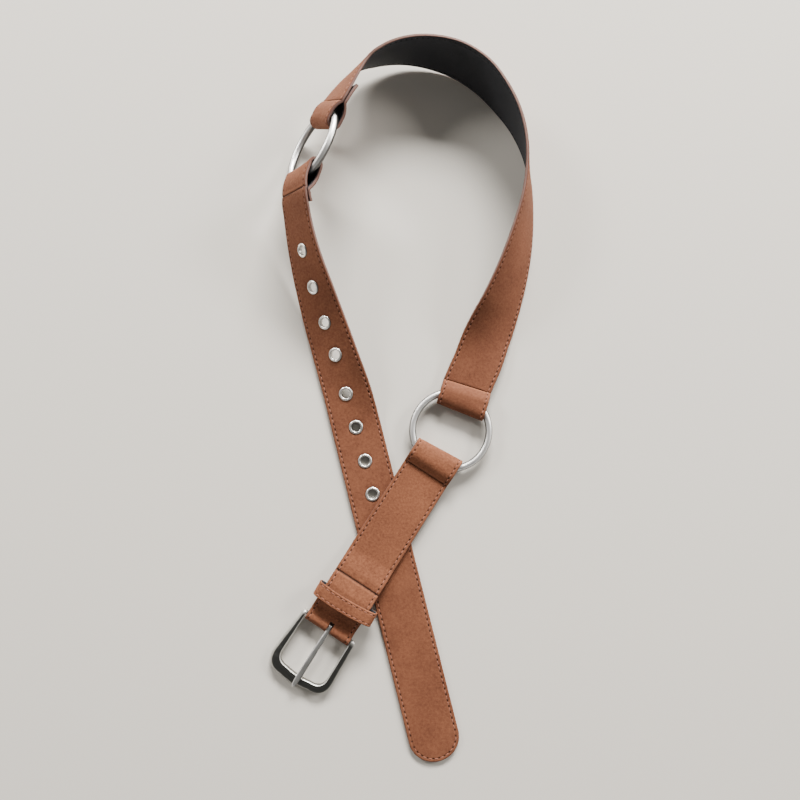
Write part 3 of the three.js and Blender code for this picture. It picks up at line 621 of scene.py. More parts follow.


# A strap's face colour can be darkened as a whole: partly its own tone, partly painted shade
def add_strap(name, rows, along, v, seats=(), keep=None, tip=None, deep=1.0):
    """The face and the lining of a strap as two pieces."""
    inset = HALF_WIDTH - np.abs(v)
    nearer = np.where(v > 0, along[0][:, None], along[1][:, None])
    hole, channel = needle_marks(nearer, inset)
    crease = np.broadcast_to(np.array(rows.crease)[:, None], nearer.shape)
    # Crease valley: shaped into the face and darkened in colour as painted shade
    crease_valley_and_shade = np.exp(-(crease / CREASE_WIDTH) ** 2)
    ridge = np.exp(-((crease - RIDGE_AT) / RIDGE_WIDTH) ** 2)
    beats = np.cos(2 * math.pi * nearer / STITCH_PITCH)
    puff = PUFF_HEIGHT * beats * np.exp(-((inset - PUFF_AT) / PUFF_WIDTH) ** 2)
    height = sewn_height(inset, hole, channel, *FACE_SEWING)
    height = height - CREASE_DEPTH * crease_valley_and_shade + RIDGE_HEIGHT * ridge - puff
    if seats:
        flat = rows.surface(v, np.zeros_like(height))
        distance = np.min([from_axis(flat, seat)[2] for seat in seats], axis=0)
        height = height - DISH_DEPTH * np.clip((DISH_REACH - distance) / DISH_WIDTH, 0, 1) ** 2
    seam = np.full_like(height, SEAM_GAP)
    top, middle, low_middle = rows.surface(v, height), rows.surface(v, seam), rows.surface(v, -seam)
    under = rows.surface(v, -sewn_height(inset, hole, channel, *LINING_SEWING))
    keep = np.ones((len(nearer) - 1, len(v) - 1), bool) if keep is None else keep
    face_keep = bored(top, middle, seats, FACE_BORE, keep)
    lining_keep = bored(under, low_middle, seats, LINING_BORE, keep)
    # Needle holes are marked for painted shade, and the edges for edge paint
    marks = {"needle": hole, "edge": painted(inset, height.shape)}
    face, backing = Shell(), Shell()
    add_layer(face, top, middle, face_keep, dict(marks, crease=crease_valley_and_shade, ridge=ridge, deep=deep), {})
    add_layer(backing, low_middle, under, lining_keep, {}, marks)
    if tip is not None:
        tip(face, backing, deep)
    make_piece(f"{name}_leather", face, [TAN_NUBUCK, PAINTED_EDGE], "belt", [f"{name}_face"])
    backing_finishes = [BLACK_LINING, PAINTED_EDGE]
    make_piece(f"{name}_backing", backing, backing_finishes, "belt", [f"{name}_lining"])


# Stitches

# Along a thread from hole to hole: share of the pitch, lift off the leather, radius. Its slant and
# its plumpness vary by chance between two limits
THREAD_SHARES = np.array([0.16, 0.24, 0.37, 0.5, 0.63, 0.76, 0.84])
THREAD_LIFTS = np.array([-0.34, -0.1, -0.01, 0.02, -0.01, -0.1, -0.34])
THREAD_RADII = np.array([0.16, 0.25, 0.3, 0.31, 0.3, 0.25, 0.16])
THREAD_SPREAD = 1.1
THREAD_TURNS = np.arange(6) * math.pi / 3
THREAD_SLANT, THREAD_PLUMPNESS = (0.04, 0.16), (0.92, 1.08)
FACE_THREAD_DEPTH, BACK_THREAD_DEPTH, BACK_THREAD_LIFT = 0.16, 0.3, -0.1
END_MARGIN = 0.8


def add_stitches(shell, points, normals, along, lift, chance):
    """Threads from needle hole to needle hole along a line of points."""
    first = math.ceil((along[0] + END_MARGIN) / STITCH_PITCH)
    last = math.floor((along[-1] - END_MARGIN) / STITCH_PITCH)
    for k in range(first, last):
        slant = chance.uniform(*THREAD_SLANT)
        plump = chance.uniform(*THREAD_PLUMPNESS)
        at = (k + THREAD_SHARES) * STITCH_PITCH
        path = np.stack([np.interp(at, along, points[:, axis]) for axis in range(3)], axis=1)
        up = unit(np.stack([np.interp(at, along, normals[:, axis]) for axis in range(3)], axis=1))
        side = np.cross(unit(np.gradient(path, axis=0)), up)
        centres = path + up * (THREAD_LIFTS + lift)[:, None]
        centres += side * (slant * (2 * THREAD_SHARES - 1))[:, None]
        radii = (THREAD_RADII * plump)[:, None, None]
        width = side[:, None] * np.cos(THREAD_TURNS)[:, None] * THREAD_SPREAD
        height = up[:, None] * np.sin(THREAD_TURNS)[:, None]
        shell.add_tube((centres[:, None] + radii * (width + height))[::-1])


def stitch_lengths(rows):
    """Distance along the two stitch lines at each row."""
    return [walked(rows.line(v, HALF_THICKNESS)) for v in (STITCH_LINE, -STITCH_LINE)]


def sew_strap(name, rows, along, seed, tip=None):
    """Stitch rows on the face and on the lining of a strap."""
    for part, height, lift, finish, slot in (
        ("stitches", HALF_THICKNESS - FACE_THREAD_DEPTH, 0.0, TAN_THREAD, "tan_leather"),
        ("back_stitches", BACK_THREAD_DEPTH - HALF_THICKNESS, BACK_THREAD_LIFT, DARK_THREAD, "black_lining"),
    ):
        sense = math.copysign(1, height)
        lines = [
            (rows.line(v, height), rows.line_normals(v) * sense, lengths)
            for v, lengths in ((STITCH_LINE, along[0]), (-STITCH_LINE, along[1]))
        ]
        if tip is not None:
            lines.append(tip(height, sense))
        shell = Shell()
        chance = random.Random(seed)
        for points, normals, lengths in lines:
            step = -1 if lengths[0] > lengths[-1] else 1
            add_stitches(shell, points[::step], normals[::step], lengths[::step], lift, chance)
        make_piece(f"{name}_{part}", shell, [finish], "belt", [])


# Finishes


def paint(red, green, blue):
    """Linear colour of a display colour from 0 to 255."""
    def linear(value):
        value /= 255
        return value / 12.92 if value <= 0.04045 else ((value + 0.055) / 1.055) ** 2.4
    return (linear(red), linear(green), linear(blue), 1.0)


class Nodes:
    """A node tree, with short calls for the nodes that finishes are made of.

    An input takes a number, a colour or another node's output.
    """

    def __init__(self, tree, place=None):
        self.tree, self.place = tree, place

    def feed(self, socket, value):
        if isinstance(value, bpy.types.NodeSocket):
            self.tree.links.new(value, socket)
        else:
            socket.default_value = value

    def node(self, kind, inputs=(), **settings):
        made = self.tree.nodes.new(f"ShaderNode{kind}")
        for name, value in settings.items():
            setattr(made, name, value)
        for key, value in dict(inputs).items():
            self.feed(made.inputs[key], value)
        return made.outputs

    def maths(self, operation, *values, clamp=False):
        return self.node("Math", enumerate(values), operation=operation, use_clamp=clamp)[0]

    def mix(self, factor, a, b):
        return self.node("Mix", {0: factor, 6: a, 7: b}, data_type="RGBA")[2]

    def spread(self, value, low, high, to_low=0.0, to_high=1.0):
        return self.node("MapRange", enumerate((value, low, high, to_low, to_high)))[0]

    def noise(self, scale, detail=3.0, rough=0.55, distortion=0.0):
        inputs = {"Scale": scale, "Detail": detail, "Roughness": rough, "Distortion": distortion}
        return self.node("TexNoise", {"Vector": self.place, **inputs})["Fac"]

    def mark(self, name):
        return self.node("Attribute", attribute_name=name)["Fac"]

    def group(self, group, **values):
        inputs = {key.replace("_", " "): value for key, value in values.items()}
        return self.node("Group", {"Place": self.place, **inputs}, node_tree=group)


def new_group(name, inputs, outputs):
    """A group with a place and some numbers going in, and numbers that change over the surface out."""
    tree = bpy.data.node_groups.new(name, "ShaderNodeTree")
    tree.interface.new_socket("Place", in_out="INPUT", socket_type="NodeSocketVector")
    for label, value in inputs.items():
        socket = tree.interface.new_socket(label, in_out="INPUT", socket_type="NodeSocketFloat")
        socket.default_value = value
    for label in outputs:
        tree.interface.new_socket(label, in_out="OUTPUT", socket_type="NodeSocketFloat")
    source, sink = tree.nodes.new("NodeGroupInput"), tree.nodes.new("NodeGroupOutput")
    return Nodes(tree, source.outputs["Place"]), source.outputs, sink.inputs


def mottling_group():
    """Cloudy tone of tanned leather, from broad patches to fine nap."""
    nodes, source, sink = new_group("leather_mottling", {"Patch Depth": 0.5, "Nap Depth": 0.5}, ["Tone"])
    patches = nodes.spread(nodes.noise(26.0), 0.3, 0.7, -1.0, 1.0)
    clouds = nodes.spread(nodes.noise(90.0, 4.0, 0.6), 0.3, 0.7, -1.0, 1.0)
    nap = nodes.spread(nodes.noise(620.0, 4.0, 0.7), 0.3, 0.7, -1.0, 1.0)
    broad = nodes.maths("MULTIPLY_ADD", clouds, 0.5, patches)
    tone = nodes.maths("MULTIPLY", broad, source["Patch Depth"])
    nodes.feed(sink["Tone"], nodes.maths("MULTIPLY_ADD", nap, source["Nap Depth"], tone))
    return nodes.tree


def grain_group():
    """Height of leather grain: pores and fine wrinkles."""
    nodes, source, sink = new_group("leather_grain", {"Pore Size": 1500.0}, ["Height"])
    inputs = {"Vector": nodes.place, "Scale": source["Pore Size"]}
    cells = nodes.node("TexVoronoi", inputs, feature="DISTANCE_TO_EDGE")["Distance"]
    pores = nodes.spread(cells, 0.0, 0.35)
    fuzzy = nodes.maths("MULTIPLY_ADD", nodes.noise(2400.0, 3.0, 0.7), 0.6, pores)
    nodes.feed(sink["Height"], nodes.maths("MULTIPLY_ADD", nodes.noise(420.0, 3.0, 0.6, 0.6), 1.4, fuzzy))
    return nodes.tree


def metal_group():
    """Fine rubbing and handling marks of plated metal."""
    nodes, source, sink = new_group("rubbed_metal", {"Scratch Scale": 1200.0}, ["Height", "Smudge"])
    stretched = nodes.node("Mapping", {"Vector": nodes.place, "Scale": (1.0, 0.18, 0.6)})[0]
    rubbed = Nodes(nodes.tree, stretched).noise(source["Scratch Scale"], 4.0, 0.7)
    nodes.feed(sink["Height"], rubbed)
    nodes.feed(sink["Smudge"], nodes.spread(nodes.noise(120.0, 4.0, 0.6), 0.3, 0.7))
    return nodes.tree


MOTTLING, GRAIN, METAL = mottling_group(), grain_group(), metal_group()


class Finish(Nodes):
    """A material with one shader, whose constants are set on its own sockets."""

    def __init__(self, name, **constants):
        self.material = bpy.data.materials.new(name)
        self.material.use_nodes = True
        tree = self.material.node_tree
        tree.nodes.clear()
        self.shader = tree.nodes.new("ShaderNodeBsdfPrincipled")
        output = tree.nodes.new("ShaderNodeOutputMaterial")
        tree.links.new(self.shader.outputs[0], output.inputs["Surface"])
        for key, value in constants.items():
            self.shader.inputs[key.replace("_", " ")].default_value = value
        super().__init__(tree, tree.nodes.new("ShaderNodeTexCoord").outputs["Object"])

    def tone(self, patch_depth, nap_depth):
        return self.group(MOTTLING, Patch_Depth=patch_depth, Nap_Depth=nap_depth)["Tone"]

    def grain(self, pore_size):
        return self.group(GRAIN, Pore_Size=pore_size)["Height"]

    def tinted(self, colour, name, share, tint):
        """The colour, tinted where a piece's point value is high."""
        return self.mix(self.maths("MULTIPLY", self.mark(name), share), colour, tint)

    def dressed(self, colour, rough, height, strength, distance):
        """The material, with its colour, roughness and bump."""
        bump = self.node("Bump", {"Height": height, "Strength": strength, "Distance": distance})[0]
        self.feed(self.shader.inputs["Base Color"], colour)
        self.feed(self.shader.inputs["Roughness"], rough)
        self.feed(self.shader.inputs["Normal"], bump)
        return self.material


EDGE_PAINT = paint(100, 66, 56)


def tan_nubuck():
    sheen = dict(Sheen_Weight=0.05, Sheen_Roughness=0.5, Sheen_Tint=paint(214, 150, 112))
    leather = Finish("tan_nubuck", Specular_IOR_Level=0.2, **sheen)
    tone = leather.tone(0.34, 0.75)
    colour = leather.mix(leather.spread(tone, -0.9, 0.9), paint(96, 56, 38), paint(137, 86, 60))
    # A darker tone strap by strap: partly the straps' own colour, partly painted shade on straps that catch
    # less light than the buckle strap
    colour = leather.tinted(colour, "deep", 0.35, paint(82, 46, 32))
    # Painted highlight along the ridge beside a crease
    colour = leather.tinted(colour, "ridge", 0.3, paint(166, 108, 76))
    # Painted shade: needle holes and crease valleys take a deep brown
    needle = leather.maths("MULTIPLY", leather.mark("needle"), 1.3)
    dark = leather.maths("MAXIMUM", needle, leather.mark("crease"), clamp=True)
    colour = leather.mix(dark, colour, paint(34, 19, 14))
    edge = leather.maths("SUBTRACT", leather.mark("edge"), 0.25)
    ragged = leather.maths("MULTIPLY_ADD", leather.noise(1500.0), 0.5, edge)
    colour = leather.mix(leather.spread(ragged, 0.45, 0.75), colour, EDGE_PAINT)
    rough = leather.spread(tone, -1.0, 1.0, 0.92, 0.78)
    return leather.dressed(colour, rough, leather.grain(1500.0), 0.35, 0.00012)


def black_lining():
    lining = Finish("black_lining", Specular_IOR_Level=0.3)
    tone = lining.tone(0.3, 0.4)
    colour = lining.mix(lining.spread(tone, -1.0, 1.0), paint(34, 35, 38), paint(54, 55, 59))
    # Painted shade in the needle holes
    colour = lining.tinted(colour, "needle", 0.9, paint(10, 10, 10))
    colour = lining.mix(lining.spread(lining.mark("edge"), 0.4, 0.8), colour, EDGE_PAINT)
    rough = lining.spread(tone, -1.0, 1.0, 0.62, 0.78)
    return lining.dressed(colour, rough, lining.grain(1100.0), 0.35, 0.00015)


def painted_edge():
    edge = Finish("painted_edge", Specular_IOR_Level=0.35)
    tone = edge.tone(0.4, 0.5)
    colour = edge.mix(edge.spread(tone, -1.0, 1.0), paint(92, 66, 58), paint(128, 98, 88))
    rough = edge.spread(tone, -1.0, 1.0, 0.5, 0.72)
    return edge.dressed(colour, rough, edge.grain(2600.0), 0.3, 0.00008)


def thread(name, dark, light):
    yarn = Finish(name, Specular_IOR_Level=0.3, Sheen_Weight=0.2)
    twist = yarn.node("TexWave", {"Vector": yarn.place, "Scale": 900.0, "Distortion": 1.0})["Fac"]
    colour = yarn.mix(yarn.spread(yarn.tone(0.3, 0.6), -1.0, 1.0), dark, light)
    return yarn.dressed(colour, yarn.spread(twist, 0.0, 1.0, 0.55, 0.75), twist, 0.3, 0.0001)


def plated(name, base, rough, scratch, strength):
    metal = Finish(name, Metallic=1.0)
    marks = metal.group(METAL, Scratch_Scale=scratch)
    # Painted shade: where a piece marks shade, the plating turns to a near-black copy of its colour
    dim, shade_colour = (tuple(channel * share for channel in base[:3]) + (1.0,) for share in (0.86, 0.12))
    colour = metal.mix(metal.mark("dulled"), metal.mix(marks["Smudge"], base, dim), shade_colour)
    rough = metal.spread(marks["Smudge"], 0.0, 1.0, rough, rough + 0.1)
    return metal.dressed(colour, rough, marks["Height"], strength, 0.00004)


def gunmetal():
    metal = Finish("gunmetal_wear_and_highlight", Metallic=1.0)
    marks = metal.group(METAL, Scratch_Scale=1500.0)
    # Light grey where the plating is worn and where a bevel gets painted highlight
    worn = metal.maths("SUBTRACT", metal.mark("worn"), 0.1)
    worn = metal.spread(metal.maths("MULTIPLY_ADD", marks["Smudge"], 0.2, worn), 0.15, 0.95)
    colour = metal.mix(worn, paint(96, 96, 93), paint(216, 215, 210))
    return metal.dressed(colour, metal.spread(worn, 0.0, 1.0, 0.42, 0.5), marks["Height"], 0.3, 0.00005)


TAN_NUBUCK = tan_nubuck()
BLACK_LINING = black_lining()
PAINTED_EDGE = painted_edge()
TAN_THREAD = thread("tan_thread", paint(120, 72, 54), paint(152, 98, 76))
DARK_THREAD = thread("dark_thread", paint(24, 22, 22), paint(52, 48, 46))
SATIN_SILVER = plated("satin_silver", paint(244, 243, 241), 0.39, 900.0, 0.2)
PRONG_SILVER = plated("prong_silver", paint(248, 247, 244), 0.3, 1100.0, 0.25)
BRIGHT_NICKEL = plated("bright_nickel", paint(244, 241, 236), 0.3, 1400.0, 0.2)
GUNMETAL = gunmetal()

# Middle strap, from the front ring round the loop to the back ring
middle_body = smooth_sections([middle_start] + route_sections(MIDDLE_ROUTE) + [middle_end])
middle_rows = strap_rows(middle_body, FRONT_UPPER_END, BACK_UPPER_END)
middle_along = stitch_lengths(middle_rows)
add_strap("middle_strap", middle_rows, middle_along, strap_columns(COLUMN))
sew_strap("middle_strap", middle_rows, middle_along, seed=11)

# Hole strap, from the back ring to the rounded tip, with its eyelets
hole_body = smooth_sections([hole_start] + route_sections(HOLE_ROUTE))
flat_end = hole_body[-1]
flat_end.travel = unit(flat_end.travel * np.array([1.0, 1.0, 0.0]))
straight = TAIL_LENGTH - TIP_LENGTH
hole_body += [
    Section(flat_end.centre + flat_end.travel * distance, flat_end.travel, flat_end.w)
    for distance in np.linspace(0, straight, math.ceil(straight / ROW) + 1)[1:]
]
hole_rows = strap_rows(hole_body, BACK_LOWER_END)
hole_columns = strap_columns(EYELET_COLUMN)
inner_along, outer_along = stitch_lengths(hole_rows)
tip_centre = hole_body[-1]
tip_angles = np.linspace(0, math.pi, TIP_SPOKES)


def tip_points(v, height, angles):
    """Points of the rounded tip: v outwards from its centre, on spokes at the given angles."""
    v, height, angles = np.broadcast_arrays(v, height, angles)
    ahead = v * np.sin(angles) * TIP_LENGTH / HALF_WIDTH
    local = np.stack([v * np.cos(angles), ahead, height], axis=-1)
    return tip_centre.centre + local @ np.stack([tip_centre.w, tip_centre.travel, tip_centre.n])


tip_along = inner_along[-1] + walked(tip_points(STITCH_LINE, HALF_THICKNESS, tip_angles))
hole_along = (inner_along, tip_along[-1] + outer_along[-1] - outer_along)


def add_tip(face, backing, deep):
    v = hole_columns[hole_columns >= -1e-6]
    inset = HALF_WIDTH - v
    hole, channel = needle_marks(tip_along[:, None], inset)
    height = sewn_height(inset, hole, channel, *TIP_SEWING)
    lining = sewn_height(inset, hole, channel, *LINING_SEWING)
    seam = np.full_like(height, SEAM_GAP)
    marks = {"needle": hole, "edge": painted(inset, height.shape)}
    for shell, high, low, top_marks, bottom_marks in (
        (face, height, seam, dict(marks, deep=deep), {}), (backing, -seam, -lining, {}, marks),
    ):
        top, bottom = (tip_points(v, level, tip_angles[:, None]) for level in (high, low))
        shell.add_grid(top, **top_marks)
        shell.add_grid(bottom, flip=True, **bottom_marks)
        rim = np.stack([top[:-1, 0], bottom[:-1, 0], bottom[1:, 0], top[1:, 0]], axis=1)
        shell.add_quads(rim, 1, flip=True)


def tip_stitches(height, sense):
    points = tip_points(STITCH_LINE, height, tip_angles)
    return points, np.tile(tip_centre.n * sense, (len(points), 1)), tip_along


eyelet_seats = []
for distance, aside in EYELETS:
    seat = section_at(hole_body, distance)
    seat.centre = seat.centre + seat.w * aside
    eyelet_seats.append(seat)
add_strap("hole_strap", hole_rows, hole_along, hole_columns, eyelet_seats, tip=add_tip, deep=0.7)
sew_strap("hole_strap", hole_rows, hole_along, seed=12, tip=tip_stitches)

# Buckle strap, from its free end behind the buckle round the heel bar and up to the front ring
groove_x, groove_y = BUCKLE_UPPER[0][0], BUCKLE_UPPER[0][1] + HALF_THICKNESS
climb = groove_y - BAR_HEIGHT
tangent = math.atan2(climb, groove_x) + math.acos(BAR_FOLD_RADIUS / math.hypot(groove_x, climb))
crease_distance = np.dot(buckle_end.centre - BAR_FOOT, buckle_heading)
lower = [np.array([x, y + HALF_THICKNESS]) for x, y in BUCKLE_LOWER]
bar_arc = arc(0, BAR_HEIGHT, BAR_FOLD_RADIUS, -math.pi / 2, tangent - 2 * math.pi, BAR_ARC_STEPS)
upper = [np.array([x, y + HALF_THICKNESS]) for x, y in BUCKLE_UPPER]
upper.append(np.array([crease_distance - CREASE_RUN, upper[-1][1]]))
corners = {1: BUCKLE_LOWER_ROUNDING, 2: BUCKLE_LOWER_ROUNDING}
corners.update(enumerate(BUCKLE_UPPER_ROUNDINGS, len(lower) + len(bar_arc)))
side_path = divided([rounded(lower + bar_arc + upper, corners)])[0]
buckle_plane = np.stack([buckle_heading, UP])
on_top = np.arange(len(side_path)) > np.argmin(side_path[:, 0])
to_crease = BUCKLE_CREASE - side_path[:, 0]
to_crease = np.where(on_top & (np.abs(to_crease) < FAR_FROM_CREASE), to_crease, FAR_FROM_CREASE)
buckle_rows = Rows()
for row in zip(BAR_FOOT + side_path @ buckle_plane, side_normals(side_path) @ buckle_plane, to_crease):
    buckle_rows.add_straight(row[0], buckle_across, *row[1:])
straight_start = buckle_end.centre - buckle_heading * BUCKLE_STRAIGHT_END
buckle_body = [Section(straight_start, buckle_heading, buckle_across), buckle_end]
buckle_rows.extend(ring_fold(buckle_body, FRONT_LOWER_END, False))

# Slot for the prong, cut through the fold round the bar
slot_edges = (-PRONG_ASIDE + SLOT_HALF, -PRONG_ASIDE - SLOT_HALF)
buckle_columns = np.array([
    v for v in strap_columns(COLUMN, extra=slot_edges)
    if v in slot_edges or min(abs(v - edge) for edge in slot_edges) > SLOT_CLEAR
])
row_middle = (side_path[:-1, 0] + side_path[1:, 0]) / 2
slot_rows = np.zeros(len(buckle_rows.crease) - 1, bool)
slot_rows[:len(row_middle)] = row_middle < SLOT_REAR
column_middle = (buckle_columns[:-1] + buckle_columns[1:]) / 2
slot_columns = (column_middle < slot_edges[0]) & (column_middle > slot_edges[1])
slot_keep = ~(slot_rows[:, None] & slot_columns)
buckle_along = stitch_lengths(buckle_rows)
add_strap("buckle_strap", buckle_rows, buckle_along, buckle_columns, keep=slot_keep, deep=0.0)
sew_strap("buckle_strap", buckle_rows, buckle_along, seed=13)

# Keeper: its place on the strap, its half width, inner half length and room over the strap
KEEPER_ALONG, KEEPER_ASIDE, KEEPER_TURN = 20.6, 0.7, math.radians(2.6)
KEEPER_HALF, KEEPER_INNER, KEEPER_FREE = 5.0, 21.0, 3.0
KEEPER_DROP, KEEPER_SHOULDER = 0.5, 0.45
KEEPER_ROUNDINGS = {1: 2.0, 2: 3.0, 3: 30, 4: 30, 5: 3.0, 6: 2.0}
KEEPER_BOW = 1.3
KEEPER_INSET = 1.6
KEEPER_INSETS = np.array([0.0, 0.03, 0.12, 0.27, 0.5, 0.8, 1.05, 1.28, 1.5, 1.72, 1.95, 2.3, 3.2, 4.1, 5.0])
KEEPER_EDGE_HEIGHTS = [0.2, 0.45, 0.62, 0.74, 0.8]
KEEPER_NEEDLE = (0.42, 0.36)
KEEPER_CHANNEL = 0.5
KEEPER_SEWING = (0.12, 0.28)
KEEPER_THREAD = 0.68
KEEPER_EDGE_REACH, KEEPER_EDGE_PAINT = 0.45, 0.3


def keeper():
    half_wall = KEEPER_WALL / 2
    side = KEEPER_INNER + half_wall
    low = KEEPER_BULGE - CLEARANCE - half_wall - BAR_HEIGHT
    high = KEEPER_BULGE + 2 * HALF_THICKNESS + KEEPER_FREE + half_wall - BAR_HEIGHT
    half_path = [(side, low), (side, high - KEEPER_DROP), (side * KEEPER_SHOULDER, high)]
    path = [(0, low), *half_path, *((-y, z) for y, z in half_path[::-1]), (0, low)]
    path = divided([rounded([np.array(corner, float) for corner in path], KEEPER_ROUNDINGS)])[0]
    along = walked(path)
    ring_length = along[-1]
    path, along = path[:-1], along[:-1]
    travel = unit(np.roll(path, -1, axis=0) - np.roll(path, 1, axis=0))
    out = np.stack([travel[:, 1], -travel[:, 0]], axis=1)
    pitch = ring_length / round(ring_length / STITCH_PITCH)
    v = np.concatenate([KEEPER_HALF - KEEPER_INSETS, KEEPER_INSETS[-2::-1] - KEEPER_HALF])
    inset = KEEPER_HALF - np.abs(v)
    off_line = inset - KEEPER_INSET
    to_hole = (along[:, None] + pitch / 2) % pitch - pitch / 2
    hole = np.exp(-(to_hole / KEEPER_NEEDLE[0]) ** 2 - (off_line / KEEPER_NEEDLE[1]) ** 2)
    channel = np.exp(-(off_line / KEEPER_CHANNEL) ** 2)
    rounding = np.interp(inset, KEEPER_INSETS[:len(KEEPER_EDGE_HEIGHTS)], KEEPER_EDGE_HEIGHTS)
    height = rounding - KEEPER_SEWING[0] * channel - KEEPER_SEWING[1] * hole
    around = np.append(np.arange(len(path)), 0)

    def place(v, height):
        """Points of the keeper, bowed towards the buckle on top, from v and a height off its middle."""
        points = path[:, None] + out[:, None] * np.broadcast_to(height, (len(path), len(v)))[..., None]
        on_top = np.clip((points[..., 1] - low) / (high - low), 0, 1)
        y = points[..., 0]
        x = v + KEEPER_BOW * (1 - (y / side) ** 2) * on_top
        turned_x = x * math.cos(KEEPER_TURN) - y * math.sin(KEEPER_TURN) - KEEPER_ALONG
        turned_y = x * math.sin(KEEPER_TURN) + y * math.cos(KEEPER_TURN) + KEEPER_ASIDE
        return buckle_place(np.stack([turned_x, turned_y, points[..., 1]], axis=-1))[around]

    shell = Shell()
    top, bottom = place(v, height), place(v, -rounding)
    edge = KEEPER_EDGE_PAINT * np.clip(1 - inset / KEEPER_EDGE_REACH, 0, 1)
    # Painted shade in the needle holes; edge paint along the rims
    shell.add_grid(top, flip=True, needle=hole[around], edge=np.broadcast_to(edge, top.shape[:2]))
    shell.add_grid(bottom, 1)
    for column in (0, -1):
        rim = [top[:-1, column], top[1:, column], bottom[1:, column], bottom[:-1, column]]
        shell.add_quads(np.stack(rim, axis=1), 0, flip=column == -1, edge=KEEPER_EDGE_PAINT)
    make_piece("keeper_loop", shell, [TAN_NUBUCK, BLACK_LINING], "belt", ["keeper"])

    threads = Shell()
    chance = random.Random(14)
    for line in (KEEPER_HALF - KEEPER_INSET, KEEPER_INSET - KEEPER_HALF):
        points, lifted = (place(np.array([line]), KEEPER_THREAD + lift)[:, 0] for lift in (0, 1))
        lengths = walked(points)
        lengths = lengths * (STITCH_PITCH / pitch) * ring_length / lengths[-1]
        add_stitches(threads, points, lifted - points, lengths, 0.0, chance)
    make_piece("keeper_stitches", threads, [TAN_THREAD], "belt", [])


keeper()

# Metal pieces

RING_STEPS, ROD_SIDES = 144, 36
# Painted shade on a ring's rod: how high round the rod it begins, and over what stretch it fades in
BRIGHT_FROM, BRIGHT_FADE = 0.78, 0.16
BAR_REACH, BAR_STEPS, BAR_SIDES = 18.6, 20, 20
X, Y = np.array([1.0, 0.0, 0.0]), np.array([0.0, 1.0, 0.0])


def circle(centre, right, up, radius, sides):
    angles = np.arange(sides) * 2 * math.pi / sides
    return [centre + (right * math.cos(angle) + up * math.sin(angle)) * radius for angle in angles]


def ring(name, centre, radius, level, steep, normal):
    """A round rod bent to a ring, with painted shade on its sides and underneath."""
    spokes = circle(np.zeros(3), level, steep, 1.0, RING_STEPS)
    middles = np.array([centre + spoke * RING_RADIUS for spoke in spokes])
    loops = np.array([circle(*place, normal, radius, ROD_SIDES) for place in zip(middles, spokes)])
    facing_up = (loops[..., 2] - middles[:, None, 2]) / radius
    shell = Shell()
    shell.add_tube(loops, closed=True, dulled=np.clip((BRIGHT_FROM - facing_up) / BRIGHT_FADE, 0, 1))
    make_piece(f"{name}_rod", shell, [SATIN_SILVER], "belt", [name])


lifted_back_ring = BACK_RING + UP * (BACK_ROD_RADIUS - ROD_RADIUS)
back_steep = np.cross(back_normal, back_level)
ring("ring_front", FRONT_RING, FRONT_ROD_RADIUS, X, Y, UP)
ring("ring_back", lifted_back_ring, BACK_ROD_RADIUS, back_level, back_steep, back_normal)

# Round an eyelet's wall: radius and height, from the bore over the flange to the lining's washer
EYELET_SIDES = 56
EYELET_PROFILE = [
    (3.34, 0.9), (3.34, 1.3), (3.44, 1.56), (3.66, 1.74), (3.98, 1.84), (4.34, 1.80), (4.68, 1.62),
    (4.94, 1.36), (5.10, 1.06), (5.12, 0.92), (4.9, 0.84), (4.1, 0.84), (4.06, 0.5), (4.06, -0.5),
    (4.1, -0.65), (5.0, -0.69), (5.12, -0.85), (5.08, -1.05), (4.9, -1.13), (4.0, -1.13),
    (3.56, -1.05), (3.38, -0.8), (3.34, -0.3), (3.34, 0.4),
]
# Painted shade inside an eyelet's bore below its top, and round the flange's outer rim; the first eyelets,
# which lean, get less of it in the bore
BORE_EDGE, BORE_TOP, FLANGE_EDGE = 3.6, 1.5, 4.9
LEANING_EYELETS, LEANING_BORE_SHADE = 4, 0.7
RIM_SHADE = 0.8


def eyelet(number, seat):
    """A rolled eyelet: domed flange on the face, tube, and flat washer in the lining."""
    outwards = circle(np.zeros(3), seat.w, seat.travel, 1.0, EYELET_SIDES)
    loops = [[seat.centre + out * r + seat.n * z for r, z in EYELET_PROFILE] for out in outwards]
    # Painted shade in the bore and at the flange's rim
    bore = LEANING_BORE_SHADE if number <= LEANING_EYELETS else 1.0
    dulled = [
        bore * (r < BORE_EDGE and z < BORE_TOP) + RIM_SHADE * (r > FLANGE_EDGE)
        for r, z in EYELET_PROFILE
    ]
    shell = Shell()
    shell.add_tube(loops, closed=True, dulled=np.tile(dulled, (EYELET_SIDES, 1)))
    node = f"eyelet_{number}"
    make_piece(f"{node}_rolled", shell, [BRIGHT_NICKEL], "belt", [node])


for number, seat in enumerate(eyelet_seats, 1):
    eyelet(number, seat)

# Half outlines of the frame in plan, on its right and left: heel, shoulder, control point of the
# corner's curve, its end, and the bow of the front
FRAME_RIGHT = [(0.4, 21.4), (31, 22.8), (42.9, 22.8), (42.9, 10.5), (46.2, 0)]
FRAME_LEFT = [(0.4, 21.6), (31, 24.2), (45.2, 24.6), (45.4, 12.0), (46.8, 0)]
FRAME_INNER = [(0.4, 17.9), (29.5, 18.3), (37.9, 18.3), (37.9, 9.5), (39.7, 0)]

